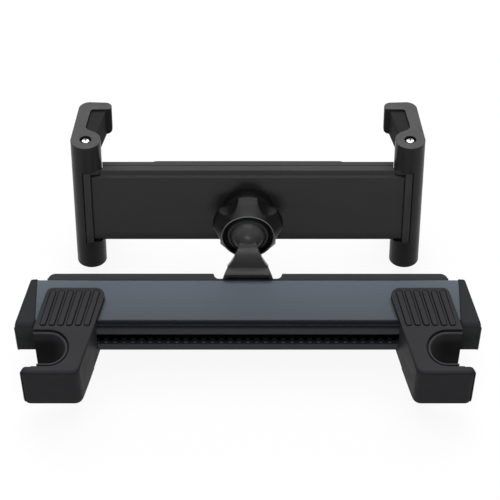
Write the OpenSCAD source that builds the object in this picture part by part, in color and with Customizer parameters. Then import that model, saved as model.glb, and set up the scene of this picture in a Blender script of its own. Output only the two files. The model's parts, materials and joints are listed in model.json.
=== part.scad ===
// Headrest tablet mount: a bar that clamps between two headrest posts, a ball arm and a spring cradle.
// Millimetres. X along the bar, +Y towards the tablet, +Z along the posts, origin midway between the posts.

/* [Bar] */

// length of the anodised cover
bar_len = 190; // [160:1:220]
// front plane of the bar
bar_front = 13.2; // [10:0.1:20]
// rear edge of the cover
bar_back = 37; // [30:0.1:45]
// top face of the cover
bar_top = 11.5; // [8:0.1:16]
// underside of the bar
bar_bottom = -10.5; // [-16:0.1:-8]
// thickness of the cover plate
cover_t = 1; // [0.6:0.1:1.6]
// radius of the bar's front edge
edge_r = 2.4; // [1.2:0.1:4]
// height of the front wall above the slot
front_h = 8.2; // [5:0.1:10]
// height of the lip under the front slot
lip_h = 5.4; // [3:0.1:7]
// wall of the moulded channel
wall = 2; // [1.4:0.1:3]
// tooth pitch of the toothed strip
tooth_pitch = 4; // [2:0.1:6]
// height of the teeth
tooth_h = 2.6; // [1:0.1:3]
// depth of the rear strip behind the cover
strip_d = 3.7; // [2:0.1:6]
// slant of caps and hooks in plan, sideways travel for each unit of depth
slant = 0.262; // [0:0.01:0.5]

/* [Hooks] */

// distance from the bar's end to the post centre with the hook fully out
post_inset = 6.8; // [5:0.1:10]
// radius of the soft liner round a post
post_r = 7.5; // [5:0.1:9]
// radius of the notch in the hook
notch_r = 9.3; // [7:0.1:11]
// front face of the hook
hook_front = -13; // [-18:0.1:-11]
// rear edge of the hook
hook_back = 31.1; // [25:0.1:36]
// half height of the hook
hook_half = 14.5; // [12:0.1:18]
// running clearance round the bar
slide_gap = 0.3; // [0.2:0.05:0.6]
// number of grip ribs
rib_count = 6; // [3:1:9]
// pitch of the grip ribs
rib_pitch = 3.9; // [2.5:0.1:5]
// height of the grip ribs
rib_h = 0.5; // [0.2:0.1:1]

/* [Ball joint] */

// height of the ball centre
ball_z = 23.5; // [15:0.1:35]
// distance of the ball centre from the post line
ball_y = 54.9; // [45:0.1:65]
// radius of the ball
ball_r = 8.4; // [6:0.1:12]
// thickness of the friction ring and the seat
seat_t = 0.9; // [0.5:0.1:2]
// gap between neighbouring spherical faces
seat_gap = 0.3; // [0.1:0.05:0.5]
// lean of the cradle, top away from the seat
lean = 16.5; // [0:0.5:40]
// radius over the lobes of the clamp nut
nut_r = 15.9; // [13:0.1:20]
// number of lobes
nut_lobes = 5; // [4:1:8]

/* [Cradle] */

// distance from the ball centre to the plane of the column axes
pivot_y = 22.5; // [18:0.1:30]
// half distance between the column axes, cradle closed
pivot_x = 72.8; // [60:0.1:90]
// radius of the columns
col_r = 6.8; // [5:0.1:9]
// half height of the housing
shell_half = 20.5; // [15:0.1:30]
// top of the upper jaw
col_top = 35.2; // [28:0.1:45]
// radius of the pivot pins
pin_r = 1.5; // [1:0.05:2.5]
// radial running clearance on the pins
pin_gap = 0.05; // [0.01:0.01:0.1]
// reach of the jaws from the column axis
jaw_reach = 28; // [20:0.1:40]

/* [Drive] */

// gear module of the pinion and the two racks
gear_m = 1; // [0.8:0.1:1.5]
// teeth of the pinion
gear_n = 12; // [10:1:18]
// backlash between a tooth and its space
backlash = 0.24; // [0.1:0.02:0.4]

/* [Hidden] */

$fn = 64;
half = bar_len / 2;
post_x = half - post_inset;
housing_top = bar_top - cover_t;
slot_top = bar_top - front_h;
slot_bottom = bar_bottom + lip_h;
ring_in = ball_r + seat_gap;
ring_out = ring_in + seat_t;
cup_in = ring_out + seat_gap;
cup_r = 11.4;
rim_y = -3.2;
plate_y = pivot_y - 5.4;
deck_y0 = pivot_y - 3.9;
deck_y1 = pivot_y + 2.6;
split_y = pivot_y;
blade_y0 = pivot_y - 1.9;
blade_y1 = pivot_y + 0.7;
jaw_z0 = shell_half + 0.3;
gear_r = gear_m * gear_n / 2;
gear_add = 0.9 * gear_m;
rack_add = 0.65 * gear_m;
rack_ded = 1.2 * gear_m;
shoe_x = -post_x + 9.8;
shoe_pts = [-1, 3.1];
strip_x = half - 4.6;
strip_screw_x = half - 25;
plate_x = pivot_x - 2;
deck_x = pivot_x - 3.8;
deck_screw_x = pivot_x - 36.8;
pocket_z = shell_half - 3.6;
deck_screw_z = shell_half - 2.3;
tip_y = jaw_reach - 5.7;
cap_pts = [[18.6, 5.6], [32, 5.6]];
spring_x = pivot_x - 23.4;

black = [0.10, 0.10, 0.105];
dark = [0.14, 0.14, 0.145];
rubber = [0.06, 0.06, 0.065];
alloy = [0.30, 0.33, 0.37];
steel = [0.75, 0.76, 0.78];
nylon = [0.20, 0.20, 0.21];

// profile in Y and Z drawn along X
module along_x(len) {
  rotate([90, 0, 90]) linear_extrude(height = len, center = true) children();
}

// profile in X and Z drawn along Y between two depths
module along_y(y0, y1) {
  translate([0, y1, 0]) rotate([90, 0, 0]) linear_extrude(height = y1 - y0) children();
}

// profile in X and Y drawn upwards between two heights
module along_z(z0, z1) {
  translate([0, 0, z0]) linear_extrude(height = z1 - z0) children();
}

// shaft along Y between two depths
module rod_y(x, z, r, y0, y1) {
  translate([x, y1, z]) rotate([90, 0, 0]) cylinder(r = r, h = y1 - y0);
}

// shaft along X through a point in Y and Z
module rod_x(p, r, x0, x1) {
  translate([x0, p[0], p[1]]) rotate([0, 90, 0]) cylinder(r = r, h = x1 - x0);
}

// convex outline, points anticlockwise, each corner with its own radius
function unit(v) = v / norm(v);
function corner_t(a, b, r) = r / tan(acos(-(a * b)) / 2);
module rounded(p, r) {
  n = len(p);
  function into(i) = unit(p[i] - p[(i + n - 1) % n]);
  function out(i) = unit(p[(i + 1) % n] - p[i]);
  function tl(i) = corner_t(into(i), out(i), r[i]);
  function left(v) = [-v[1], v[0]];
  intersection() {
    polygon(p);
    union() {
      polygon([for (i = [0 : n - 1]) each [p[i] - into(i) * tl(i), p[i] + out(i) * tl(i)]]);
      for (i = [0 : n - 1]) if (r[i] > 0.05)
        translate(p[i] - into(i) * tl(i) + left(into(i)) * r[i]) circle(r = r[i]);
    }
  }
}

// places the cradle: ball centre as origin, leaned back
module cradle() {
  translate([0, ball_y, ball_z]) rotate([-lean, 0, 0]) children();
}

module other_side() {
  mirror([1, 0, 0]) children();
}

module both_ends() {
  children();
  other_side() children();
}

// bar

module channel_outline() {
  inner_y = bar_front + cover_t + 1.5;
  difference() {
    union() {
      translate([bar_front, bar_bottom]) square([bar_back - bar_front, bar_top - edge_r - bar_bottom]);
      translate([bar_front + edge_r, bar_top - edge_r - 1])
        square([bar_back - bar_front - edge_r, housing_top - bar_top + edge_r + 1]);
      intersection() {
        translate([bar_front + edge_r, bar_top - edge_r]) circle(r = edge_r);
        translate([bar_front, bar_top - edge_r]) square(edge_r);
      }
    }
    translate([inner_y, slot_bottom + 0.6])
      square([bar_back - wall - inner_y, housing_top - wall - slot_bottom - 0.6]);
    translate([bar_front + 2, bar_bottom + wall]) square([bar_back - bar_front - 2 - wall, 12]);
    translate([bar_front - 1, slot_bottom]) square([6, slot_top - slot_bottom]);
  }
}

module bar_housing() {
  color(black) difference() {
    union() {
      both_ends() for (p = cap_pts) rod_x(p, 2.95, -half, -half + 4.4);
      along_x(bar_len) channel_outline();
    }
    for (x = [-5.8, 5.8]) rod_y(x, -2, 1.25, bar_back - 4, bar_back + 1);
    for (x = [-strip_screw_x, strip_screw_x]) rod_y(x, -2, 1.25, bar_back - 4, bar_back + 1);
    both_ends() for (p = cap_pts) rod_x(p, 1.2, -half - 1, -half + 3.9);
  }
}

module cover_plate() {
  y0 = bar_front + edge_r + 0.05;
  color(alloy) along_x(bar_len) polygon([
    [y0, housing_top], [bar_back, housing_top], [bar_back, bar_top - 0.35], [bar_back - 0.35, bar_top],
    [y0 + 0.35, bar_top], [y0, bar_top - 0.35]
  ]);
}

module rear_outline() {
  difference() {
    rounded([
      [-strip_x, bar_back + 0.05], [strip_x, bar_back + 0.05],
      [strip_x, bar_back + strip_d], [-strip_x, bar_back + strip_d]
    ], [0.01, 0.01, 3.6, 3.6]);
    translate([0, bar_back + strip_d - 2.6 + 10]) square([23.6, 20], center = true);
    for (s = [-1, 1]) translate([s * 12.7, bar_back + strip_d]) circle(r = 2.7);
    translate([-12.7, bar_back + strip_d - 2.7]) square([25.4, 5]);
  }
}

module rear_plate() {
  color(dark) difference() {
    union() {
      along_z(bar_bottom + 0.4, bar_top - 0.6) rear_outline();
      translate([-strip_x, bar_back + 0.05, bar_bottom]) cube([strip_x * 2, 1.05, 21.4]);
    }
    translate([-11.9, bar_back + 1.1, bar_bottom - 1]) cube([23.8, 6, 30]);
    for (x = [-5.8, 5.8]) rod_y(x, -2, 1.55, bar_back - 1, bar_back + 6);
    for (x = [-strip_screw_x, strip_screw_x]) {
      rod_y(x, -2, 1.55, bar_back - 1, bar_back + 6);
      rod_y(x, -2, 2.9, bar_back + 2.2, bar_back + 6);
    }
  }
}

module rack_strip() {
  n = floor(bar_len / tooth_pitch) + 1;
  base_z = bar_bottom + wall;
  tip_z = slot_bottom + 0.8;
  color(dark) union() {
    along_y(bar_front + 2.2, bar_front + 4.4) translate([-half + 1, base_z])
      square([bar_len - 2, tip_z - tooth_h - base_z]);
    along_y(bar_front + 2.2, bar_front + 3) for (i = [0 : n - 2])
      translate([-half + 3 + i * tooth_pitch, tip_z - tooth_h - 0.01])
        polygon([[-1.4, 0], [1.4, 0], [0.9, tooth_h], [-0.9, tooth_h]]);
  }
}

module cap_plan() {
  y0 = bar_front;
  y1 = bar_back + 0.4;
  x0 = -half - 4.1 - slant * (32.6 - y0);
  x1 = -half - 4.1 - slant * (32.6 - y1);
  rounded([[-half, y1], [x1, y1], [x0, y0], [-half, y0]], [0.01, 1.4, 0.01, 0.01]);
}

module end_cap() {
  difference() {
    intersection() {
      along_z(bar_bottom, bar_top) cap_plan();
      along_x(300) union() {
        translate([bar_front + edge_r, bar_bottom]) square([40, bar_top - bar_bottom]);
        translate([bar_front, bar_bottom]) square([10, bar_top - bar_bottom - edge_r]);
        translate([bar_front + edge_r, bar_top - edge_r]) circle(r = edge_r);
      }
    }
    for (p = cap_pts) rod_x(p, 1.3, -half - 15, -half + 5);
    for (p = cap_pts) rod_x(p, 2.4, -half - 15, -half - 2.4);
  }
}

module end_cap_left() {
  color(black) end_cap();
}

module end_cap_right() {
  color(black) other_side() end_cap();
}

module cap_screw() {
  difference() {
    union() {
      rotate([0, 90, 0]) cylinder(r = 2.1, h = 1.3);
      rotate([0, 90, 0]) cylinder(r = 1.2, h = 7.6);
    }
    translate([-1, -0.35, -1.3]) cube([1.6, 0.7, 2.6]);
    translate([-1, -1.3, -0.35]) cube([1.6, 2.6, 0.7]);
  }
}

module cap_screws() {
  color(steel) both_ends() for (p = cap_pts) translate([-half - 3.7, p[0], p[1]]) cap_screw();
}

// arm with its ball

module arm_flare() {
  rotate([45, 0, 0]) translate([0, 0, -70]) linear_extrude(height = 140) children();
}

module ball_arm() {
  py = bar_back + 1.1;
  color(black) difference() {
    union() {
      translate([0, ball_y, ball_z]) sphere(r = ball_r);
      intersection() {
        along_x(40) polygon([
          [py, bar_bottom + 1], [py, bar_top + 0.1], [py - 0.9, bar_top + 0.1], [py - 0.9, 15.2],
          [py - 0.4, 15.7], [40.6, 15.7], [41.4, 18.6], [43, 22.4], [45.4, 25.2], [48.2, 26.3],
          [ball_y, 26.6], [ball_y, 20.4], [48.6, 19.4], [46, 17], [44.6, 13], [44.2, 8],
          [44.2, bar_bottom + 1]
        ]);
        arm_flare() polygon([
          [-11.5, 15], [-11.5, 34.4], [-10.5, 37.4], [-9.4, 39.8], [-8.9, 40.6], [-7.8, 42.2], [-6.6, 44.2],
          [-5.7, 46.4], [-4.4, 49.6], [-3.6, 52.4], [-3.6, 62], [3.6, 62], [3.6, 52.4], [4.4, 49.6],
          [5.7, 46.4], [6.6, 44.2], [7.8, 42.2], [8.9, 40.6], [9.4, 39.8], [10.5, 37.4], [11.5, 34.4],
          [11.5, 15]
        ]);
        along_z(-20, 60) polygon([
          [-11.5, 36], [-11.5, 37.2], [-9.3, 40.8], [-9.3, 70],
          [9.3, 70], [9.3, 40.8], [11.5, 37.2], [11.5, 36]
        ]);
      }
    }
    along_y(py - 2, py + 0.6)
      rounded([[-10.2, bar_top - 3], [10.2, bar_top - 3], [9.2, 14.9], [-9.2, 14.9]], [0.01, 0.01, 3, 3]);
    for (x = [-5.8, 5.8]) rod_y(x, -2, 1.55, py - 1, py + 9);
    for (x = [-5.8, 5.8]) rod_y(x, -2, 2.9, bar_back + 5.2, py + 9);
  }
}

module screw_y(x, z, head_y, tip_y, r, hr, ht) {
  difference() {
    union() {
      rod_y(x, z, hr, head_y, head_y + ht);
      rod_y(x, z, r, tip_y, head_y + 0.01);
    }
    translate([x - 0.35, head_y + ht - 0.7, z - hr * 0.6]) cube([0.7, 1, hr * 1.2]);
    translate([x - hr * 0.6, head_y + ht - 0.7, z - 0.35]) cube([hr * 1.2, 1, 0.7]);
  }
}

module arm_screws() {
  color(steel) {
    for (x = [-5.8, 5.8]) screw_y(x, -2, bar_back + 5.2, bar_back - 3.6, 1.25, 2.6, 1.6);
    for (x = [-strip_screw_x, strip_screw_x]) screw_y(x, -2, bar_back + 2.2, bar_back - 2.3, 1.25, 2.6, 1.4);
  }
}

// hooks, drawn on the left and mirrored

function edge_in(y) = -post_x + 20.3 + slant * (y - 12.3);
function edge_out(y) = -post_x - 1.5 + slant * (y - hook_back);

module hook_plan() {
  lip_y = -notch_r - 0.3;
  difference() {
    union() {
      intersection() {
        rounded([
          [edge_in(hook_front), hook_front], [edge_in(hook_back), hook_back],
          [edge_out(hook_back), hook_back], [edge_out(hook_front), hook_front]
        ], [4, 4, 3.4, 0.01]);
        translate([-post_x - 7, -50]) square([60, 100]);
      }
      rounded([
        [-post_x + 4.2, hook_front], [-post_x + 4.2, lip_y],
        [-post_x - 11.8, lip_y], [-post_x - 11.8, hook_front]
      ], [0.01, 0.01, 2.2, 1]);
    }
    translate([-post_x - 30, -notch_r]) square([30, notch_r * 2]);
    translate([-post_x, 0]) circle(r = notch_r);
  }
}

module hook_body() {
  difference() {
    along_z(-hook_half, hook_half) hook_plan();
    translate([-150, bar_front - slide_gap, bar_bottom - slide_gap])
      cube([150, 40, bar_top - bar_bottom + slide_gap * 2]);
    translate([-150, 6, -30]) cube([150, 60, 30 - hook_half + 0.6]);
    translate([shoe_x - 5.4, bar_front - 4.9, -3.5]) cube([10.8, 10, 6.4]);
    for (x = shoe_pts) rod_y(shoe_x + x, -0.3, 1.05, bar_front - 6.9, bar_front - 4);
    for (s = [-1, 1]) lip_corner(s);
  }
}

// takes the lip's end corner off, seen from the front
module lip_corner(s) {
  x = -post_x - 11.8;
  z = s * hook_half;
  difference() {
    translate([x - 1, hook_front - 1, s > 0 ? z - 3 : z - 1]) cube([4, 6, 4]);
    rod_y(x + 3, z - s * 3, 3, hook_front - 2, hook_front + 6);
  }
}

module hook_ribs() {
  for (i = [0 : rib_count - 1]) {
    x = edge_out(20) + 3.4 + i * rib_pitch;
    x0 = x - slant * 7.6;
    x1 = x + slant * 8.6;
    along_z(hook_half - 0.01, hook_half + rib_h)
      rounded(
        [[x0 - 1.15, 11.5], [x0 + 1.15, 11.5], [x1 + 1.15, 29.2], [x1 - 1.15, 29.2]],
        [0.5, 0.5, 0.9, 0.9]
      );
  }
}

module hook_one() {
  color(black) union() {
    hook_body();
    hook_ribs();
  }
}

module hook_left() {
  hook_one();
}

module hook_right() {
  other_side() hook_one();
}

module liner_one() {
  color(rubber) along_z(-hook_half + 0.8, hook_half - 0.7) difference() {
    union() {
      translate([-post_x, 0]) circle(r = notch_r - 0.02);
      translate([-post_x - 7, -notch_r + 0.02]) square([7, notch_r * 2 - 0.04]);
    }
    translate([-post_x, 0]) circle(r = post_r);
    translate([-post_x - 30, -post_r]) square([30, post_r * 2]);
    translate([-post_x - 8, -notch_r - 1]) square([3.2, 4]);
  }
}

module hook_left_liner() {
  liner_one();
}

module hook_right_liner() {
  other_side() liner_one();
}

module shoe_one() {
  color(nylon) difference() {
    union() {
      translate([shoe_x - 5.4, bar_front - 4.9, -3.5]) cube([10.8, 12, 6.4]);
      translate([shoe_x - 10, bar_front + 4.9, -7.9]) cube([20, 16.1, 15.8]);
      translate([shoe_x - 1.2, bar_front + 2.3, -3.8]) cube([2.4, 2.9, 0.6]);
    }
    translate([shoe_x - 8.4, bar_front + 6.8, -9]) cube([16.8, 12.2, 5]);
    for (x = shoe_pts) rod_y(shoe_x + x, -0.3, 1.2, bar_front - 6, bar_front + 11);
    for (x = shoe_pts) rod_y(shoe_x + x, -0.3, 2.1, bar_front - 0.2, bar_front + 27);
  }
}

module hook_left_shoe() {
  shoe_one();
}

module hook_right_shoe() {
  other_side() shoe_one();
}

module shoe_screws() {
  color(steel) for (x = shoe_pts) screw_y(shoe_x + x, -0.3, bar_front - 0.2, bar_front - 6.7, 1.05, 1.9, 1.5);
}

module hook_left_screws() {
  shoe_screws();
}

module hook_right_screws() {
  other_side() shoe_screws();
}

// ball joint

// zone of a spherical shell round the nut axis between two depths
module shell_zone(r0, r1, y0, y1) {
  rotate([-90, 0, 0]) rotate_extrude() intersection() {
    difference() {
      circle(r = r1);
      circle(r = r0);
    }
    translate([0, y0]) square([40, y1 - y0]);
  }
}

module slip_ring() {
  color(nylon) cradle() shell_zone(ring_in, ring_out, -3.1, -0.5);
}

module ball_seat() {
  color(nylon) cradle() shell_zone(ring_in, ring_out, 4, 12);
}

module clamp_nut() {
  color(black) cradle() difference() {
    rotate([-90, 0, 0]) rotate_extrude() difference() {
      polygon([
        [0, rim_y], [11.9, rim_y], [12.4, rim_y + 0.5], [13, -1.4], [14.5, 0.8], [15.5, 2.4],
        [nut_r, 3.6], [nut_r, 6], [15.3, 6.6], [13.4, 6.8], [13.4, 8], [0, 8]
      ]);
      polygon([
        [0, rim_y - 1], [11.4, rim_y - 1], [11.3, rim_y], [10.2, -1.9], [cup_in - 0.2, -1.9], [0, -1.9]
      ]);
      intersection() {
        circle(r = cup_in);
        translate([0, -3]) square([20, 3]);
      }
      translate([0, -0.9]) square([11.75, 10]);
    }
    for (i = [0 : nut_lobes - 1]) rotate([0, 90 + (i + 0.5) * 360 / nut_lobes, 0])
      translate([-(nut_r + 2.1), -6, 0]) rotate([-90, 0, 0]) cylinder(r = 4.1, h = 20);
  }
}

module socket_cup() {
  color(dark) cradle() difference() {
    rotate([-90, 0, 0]) rotate_extrude() difference() {
      polygon([
        [0, -0.5], [10.9, -0.5], [cup_r, 0.3], [cup_r, 1], [11.1, 1.4], [cup_r, 1.8], [cup_r, 2.4],
        [11.1, 2.8], [cup_r, 3.2], [cup_r, 3.8], [11.1, 4.2], [cup_r, 4.6], [cup_r, 8.4],
        [12.9, 8.6], [12.9, 10.6], [11, 12.2], [10.2, 14.2], [10.6, 15.8], [11.6, 16.6],
        [11.6, plate_y], [0, plate_y]
      ]);
      circle(r = cup_in);
      translate([0, -2]) square([cup_in, 2]);
      translate([0, 12]) square([2.4, 10]);
    }
    for (a = [0 : 60 : 300]) rotate([0, a, 0]) translate([-0.6, -2, 0]) cube([1.2, 8.4, 20]);
    for (a = [45 : 90 : 315]) rotate([0, a, 0]) rod_y(0, 6.5, 0.85, 13.4, 20);
  }
}

module cup_screws() {
  color(steel) cradle() for (a = [45 : 90 : 315]) rotate([0, a, 0]) union() {
    rod_y(0, 6.5, 0.8, 13.8, deck_y0 + 1.3 + 0.01);
    rod_y(0, 6.5, 1.5, deck_y0 + 1.3, deck_y0 + 1.3 + 0.4);
  }
}

// cradle housing

module deck_outline(y0, y1) {
  difference() {
    translate([-deck_x, y0, -shell_half]) cube([deck_x * 2, y1 - y0, shell_half * 2]);
    for (s = [-1, 1]) translate([s * pivot_x, pivot_y, -30]) cylinder(r = col_r + 0.35, h = 60);
  }
}

module shell_holes(r, y0, y1) {
  for (x = [-deck_screw_x, deck_screw_x]) for (z = [-deck_screw_z, deck_screw_z]) rod_y(x, z, r, y0, y1);
}

module rear_shell() {
  color(black) cradle() difference() {
    union() {
      deck_outline(deck_y0, split_y);
      translate([-plate_x, plate_y, -shell_half + 1.9])
        cube([plate_x * 2, deck_y0 - plate_y + 0.01, shell_half * 2 - 4.8]);
      rod_y(0, 0, 3, deck_y0, blade_y0 - 0.2);
    }
    difference() {
      translate([-pivot_x - 8, deck_y0 + 1.3, -pocket_z]) cube([pivot_x * 2 + 16, 10, pocket_z * 2]);
      rod_y(0, 0, 3, deck_y0, blade_y0 - 0.2);
    }
    rod_y(0, 0, pin_r, plate_y + 0.8, 40);
    shell_holes(0.9, plate_y + 1.6, 40);
    for (a = [45 : 90 : 315]) rotate([0, a, 0]) rod_y(0, 6.5, 0.85, 10, 40);
  }
}

module front_shell() {
  color(black) cradle() difference() {
    deck_outline(split_y, deck_y1);
    translate([-pivot_x - 8, split_y - 1, -pocket_z])
      cube([pivot_x * 2 + 16, blade_y1 + 0.4 - split_y + 1, pocket_z * 2]);
    rod_y(0, 0, pin_r, 10, blade_y1 + 1.2);
    shell_holes(1.1, 10, 40);
    shell_holes(1.9, deck_y1 - 1, 40);
  }
}

module shell_screws() {
  color(steel) cradle() for (x = [-deck_screw_x, deck_screw_x]) for (z = [-deck_screw_z, deck_screw_z])
    screw_y(x, z, deck_y1 - 1, deck_y0 + 0.2, 0.9, 1.7, 0.8);
}

module far_pad() {
  color(rubber) cradle() along_y(deck_y1, deck_y1 + 1.4) rounded(
    [for (c = [[-1, -1], [1, -1], [1, 1], [-1, 1]]) [c[0] * (pivot_x - 28.4), c[1] * (shell_half - 0.6)]],
    [3, 3, 3, 3]
  );
}

module pinion_pin() {
  color(steel) cradle() rod_y(0, 0, pin_r, plate_y + 0.8, blade_y1 + 1.2);
}

// drive

function inv_pt(rb, t) = [rb * (cos(t) + t * PI / 180 * sin(t)), rb * (sin(t) - t * PI / 180 * cos(t))];
function turn(p, a) = [p[0] * cos(a) - p[1] * sin(a), p[0] * sin(a) + p[1] * cos(a)];
function inv_angle(rb, r) = sqrt(max(0, (r / rb) * (r / rb) - 1)) * 180 / PI;

module pinion_outline() {
  rb = gear_r * cos(20);
  ro = gear_r + gear_add;
  rf = gear_r - 1.15 * gear_m;
  tp = inv_angle(rb, gear_r);
  pp = inv_pt(rb, tp);
  half_a = 90 / gear_n - backlash / 4 / gear_r * 180 / PI + atan2(pp[1], pp[0]);
  te = inv_angle(rb, ro);
  flank = [for (k = [0 : 6]) inv_pt(rb, te * k / 6)];
  polygon([for (i = [0 : gear_n - 1]) each concat(
    [turn([rf, 0], i * 360 / gear_n - half_a)],
    [for (k = [0 : 6]) turn(flank[k], i * 360 / gear_n - half_a)],
    [for (k = [6 : -1 : 0]) turn([flank[k][0], -flank[k][1]], i * 360 / gear_n + half_a)],
    [turn([rf, 0], i * 360 / gear_n + half_a)]
  )]);
}

module pinion() {
  color(nylon) cradle() along_y(blade_y0, blade_y1) rotate(90 + 180 / gear_n) difference() {
    pinion_outline();
    circle(r = pin_r + pin_gap);
  }
}

// rack teeth pointing down at the pinion, a tooth centred on the middle plane
module rack_teeth(x0, n) {
  w = PI * gear_m / 4 - backlash / 4;
  for (i = [0 : n - 1]) translate([x0 + i * PI * gear_m, gear_r]) polygon([
    [-w - (rack_ded + 0.2) * tan(20), rack_ded + 0.2], [-w + rack_add * tan(20), -rack_add],
    [w - rack_add * tan(20), -rack_add], [w + (rack_ded + 0.2) * tan(20), rack_ded + 0.2]
  ]);
}

// wedge from the origin between two angles
function sector(r, a0, a1) = concat(
  [[0, 0]],
  [for (i = [0 : 6]) let (a = a0 + (a1 - a0) * i / 6) r * [cos(a), sin(a)]]
);

module column_core() {
  a0 = 257.5;
  a1 = 382;
  translate([-pivot_x, pivot_y]) union() {
    circle(r = 4.5);
    intersection() {
      circle(r = col_r);
      polygon(sector(12, a0, a1));
    }
  }
}

module slide_arm() {
  difference() {
    union() {
      difference() {
        along_z(-shell_half, shell_half) column_core();
        translate([-pivot_x + 1.7, pivot_y - 9, -30]) cube([20, 5.4, 60]);
      }
      translate([-pivot_x + 3, blade_y0, -pocket_z + 0.4])
        cube([20, blade_y1 - blade_y0, pocket_z * 2 - 0.8]);
      along_y(blade_y0, blade_y1) union() {
        translate([-pivot_x + 12.8, gear_r + rack_ded])
          square([pivot_x * 2 - 39.6, pocket_z - 0.4 - gear_r - rack_ded]);
        rack_teeth(-PI * gear_m, 16);
      }
    }
    translate([-pivot_x, pivot_y, -40]) cylinder(r = pin_r, h = 80);
  }
}

// closed extension spring drawn along X with an eye at each end
module return_spring() {
  n = 30;
  p = (spring_x - 14.6) / n;
  coils = [for (i = [0 : n - 1]) each [[1.25, i * p], [1.6, (i + 0.5) * p]]];
  translate([-spring_x + 2.2, (blade_y0 + blade_y1) / 2, 0]) rotate([0, 90, 0]) rotate_extrude($fn = 24)
    polygon(concat([[0.9, 0]], coils, [[1.25, n * p], [0.9, n * p]]));
}

module return_spring_left() {
  color(steel) cradle() union() {
    return_spring();
    translate([-spring_x + 0.2, blade_y0 + 0.9, -0.35]) cube([3, 0.8, 0.7]);
    translate([-13, blade_y0 + 0.9, -0.35]) cube([2.1, 0.8, 0.7]);
  }
}

module return_spring_right() {
  color(steel) cradle() other_side() union() {
    return_spring();
    translate([-spring_x + 0.2, blade_y0 + 0.9, -0.35]) cube([3, 0.8, 0.7]);
    translate([-13, blade_y0 + 0.9, -0.35]) cube([2.1, 0.8, 0.7]);
  }
}

module slide_arm_left() {
  color(dark) cradle() slide_arm();
}

module slide_arm_right() {
  color(dark) cradle() rotate([0, 180, 0]) slide_arm();
}

module pivot_pin() {
  translate([-pivot_x, pivot_y, 0]) difference() {
    union() {
      translate([0, 0, -col_top + 1.5]) cylinder(r = pin_r, h = col_top * 2 - 3);
      translate([0, 0, col_top - 1.5]) cylinder(r = 1.8, h = 1);
      translate([0, 0, -col_top + 0.5]) cylinder(r = 1.9, h = 1);
    }
    translate([-0.3, -1.2, col_top - 1.1]) cube([0.6, 2.4, 2]);
    translate([-1.2, -0.3, col_top - 1.1]) cube([2.4, 0.6, 2]);
  }
}

module pivot_pin_left() {
  color(steel) cradle() pivot_pin();
}

module pivot_pin_right() {
  color(steel) cradle() other_side() pivot_pin();
}

// jaws, drawn about the column axis

module jaw_plan() {
  circle(r = col_r);
  intersection() {
    rounded([
      [-col_r, -0.1], [col_r, -0.1], [10.7, tip_y - 2.3], [10.7, jaw_reach - 0.7], [-3.75, jaw_reach]
    ], [0.01, 0.01, 0.01, 3, 5]);
    polygon([
      [-9, -0.1], [-9, jaw_reach + 12], [20, jaw_reach + 12], [20, tip_y], [2.4, tip_y], [1.6, tip_y - 0.3],
      [1.2, tip_y - 1.1], [-0.25, 9.4], [0.1, 8.1], [1, 7.2], [3, 6.1], [5.6, 3.4],
      [col_r - 0.01, 0], [0, -0.1]
    ]);
  }
}

module jaw_spine() {
  a0 = 115;
  a1 = 254;
  difference() {
    circle(r = col_r);
    circle(r = 4.8);
    polygon(sector(14, a1, 360 + a0));
  }
}

// rounds the tip's inner corner next to the column, seen from the front
module tip_corner(s) {
  difference() {
    translate([10.7 - 3, tip_y - 1, s > 0 ? jaw_z0 - 1 : -jaw_z0 - 3]) cube([4, 12, 4]);
    rod_y(10.7 - 3, s * (jaw_z0 + 3), 3, tip_y - 2, tip_y + 12);
  }
}

module jaw_one() {
  translate([-pivot_x, pivot_y, 0]) difference() {
    union() {
      along_z(jaw_z0, col_top) jaw_plan();
      along_z(-col_top, -jaw_z0) jaw_plan();
      along_z(-jaw_z0 - 0.01, jaw_z0 + 0.01) jaw_spine();
    }
    translate([0, 0, -50]) cylinder(r = pin_r + pin_gap, h = 100);
    for (s = [-1, 1]) tip_corner(s);
    translate([0, 0, col_top - 1.8]) cylinder(r = 2.6, h = 5);
    translate([0, 0, -col_top - 3.2]) cylinder(r = 2.6, h = 5);
  }
}

module jaw_left() {
  color(black) cradle() jaw_one();
}

module jaw_right() {
  color(black) cradle() other_side() jaw_one();
}

module pads_one() {
  for (s = [0, 1]) mirror([0, 0, s]) translate([-pivot_x, pivot_y, 0])
    along_z(jaw_z0 + 0.3, col_top - 1) polygon([
    [-0.25, 9.4], [1.2, tip_y - 1.1], [1.6, tip_y - 0.3], [2.4, tip_y], [8.2, tip_y], [5.2, 8.6], [4.6, 5.6],
    [3.2, 6.4], [1.1, 7.4], [0.15, 8.3]
  ]);
}

module jaw_left_pads() {
  color(rubber) cradle() pads_one();
}

module jaw_right_pads() {
  color(rubber) cradle() other_side() pads_one();
}

bar_housing();
cover_plate();
rear_plate();
rack_strip();
end_cap_left();
end_cap_right();
ball_arm();
arm_screws();
cap_screws();
hook_left();
hook_left_liner();
hook_left_shoe();
hook_left_screws();
hook_right();
hook_right_liner();
hook_right_shoe();
hook_right_screws();
slip_ring();
ball_seat();
clamp_nut();
rear_shell();
front_shell();
socket_cup();
cup_screws();
far_pad();
shell_screws();
pinion_pin();
slide_arm_left();
slide_arm_right();
return_spring_left();
return_spring_right();
pinion();
pivot_pin_left();
pivot_pin_right();
jaw_left();
jaw_left_pads();
jaw_right();
jaw_right_pads();
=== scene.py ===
"""A headrest tablet mount, dressed over its CAD frame.

A bar hangs between two headrest posts. A ball arm on it carries a cradle, whose two jaws hold a
tablet. Lengths that end in _mm are in the mount's frame, in millimetres.
"""
import json
import logging
import math
from contextlib import contextmanager
from dataclasses import dataclass
from enum import Enum
from typing import Any, Callable, Iterator, Optional, Sequence, Union

import bmesh
import bpy
from mathutils import Matrix, Vector

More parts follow.
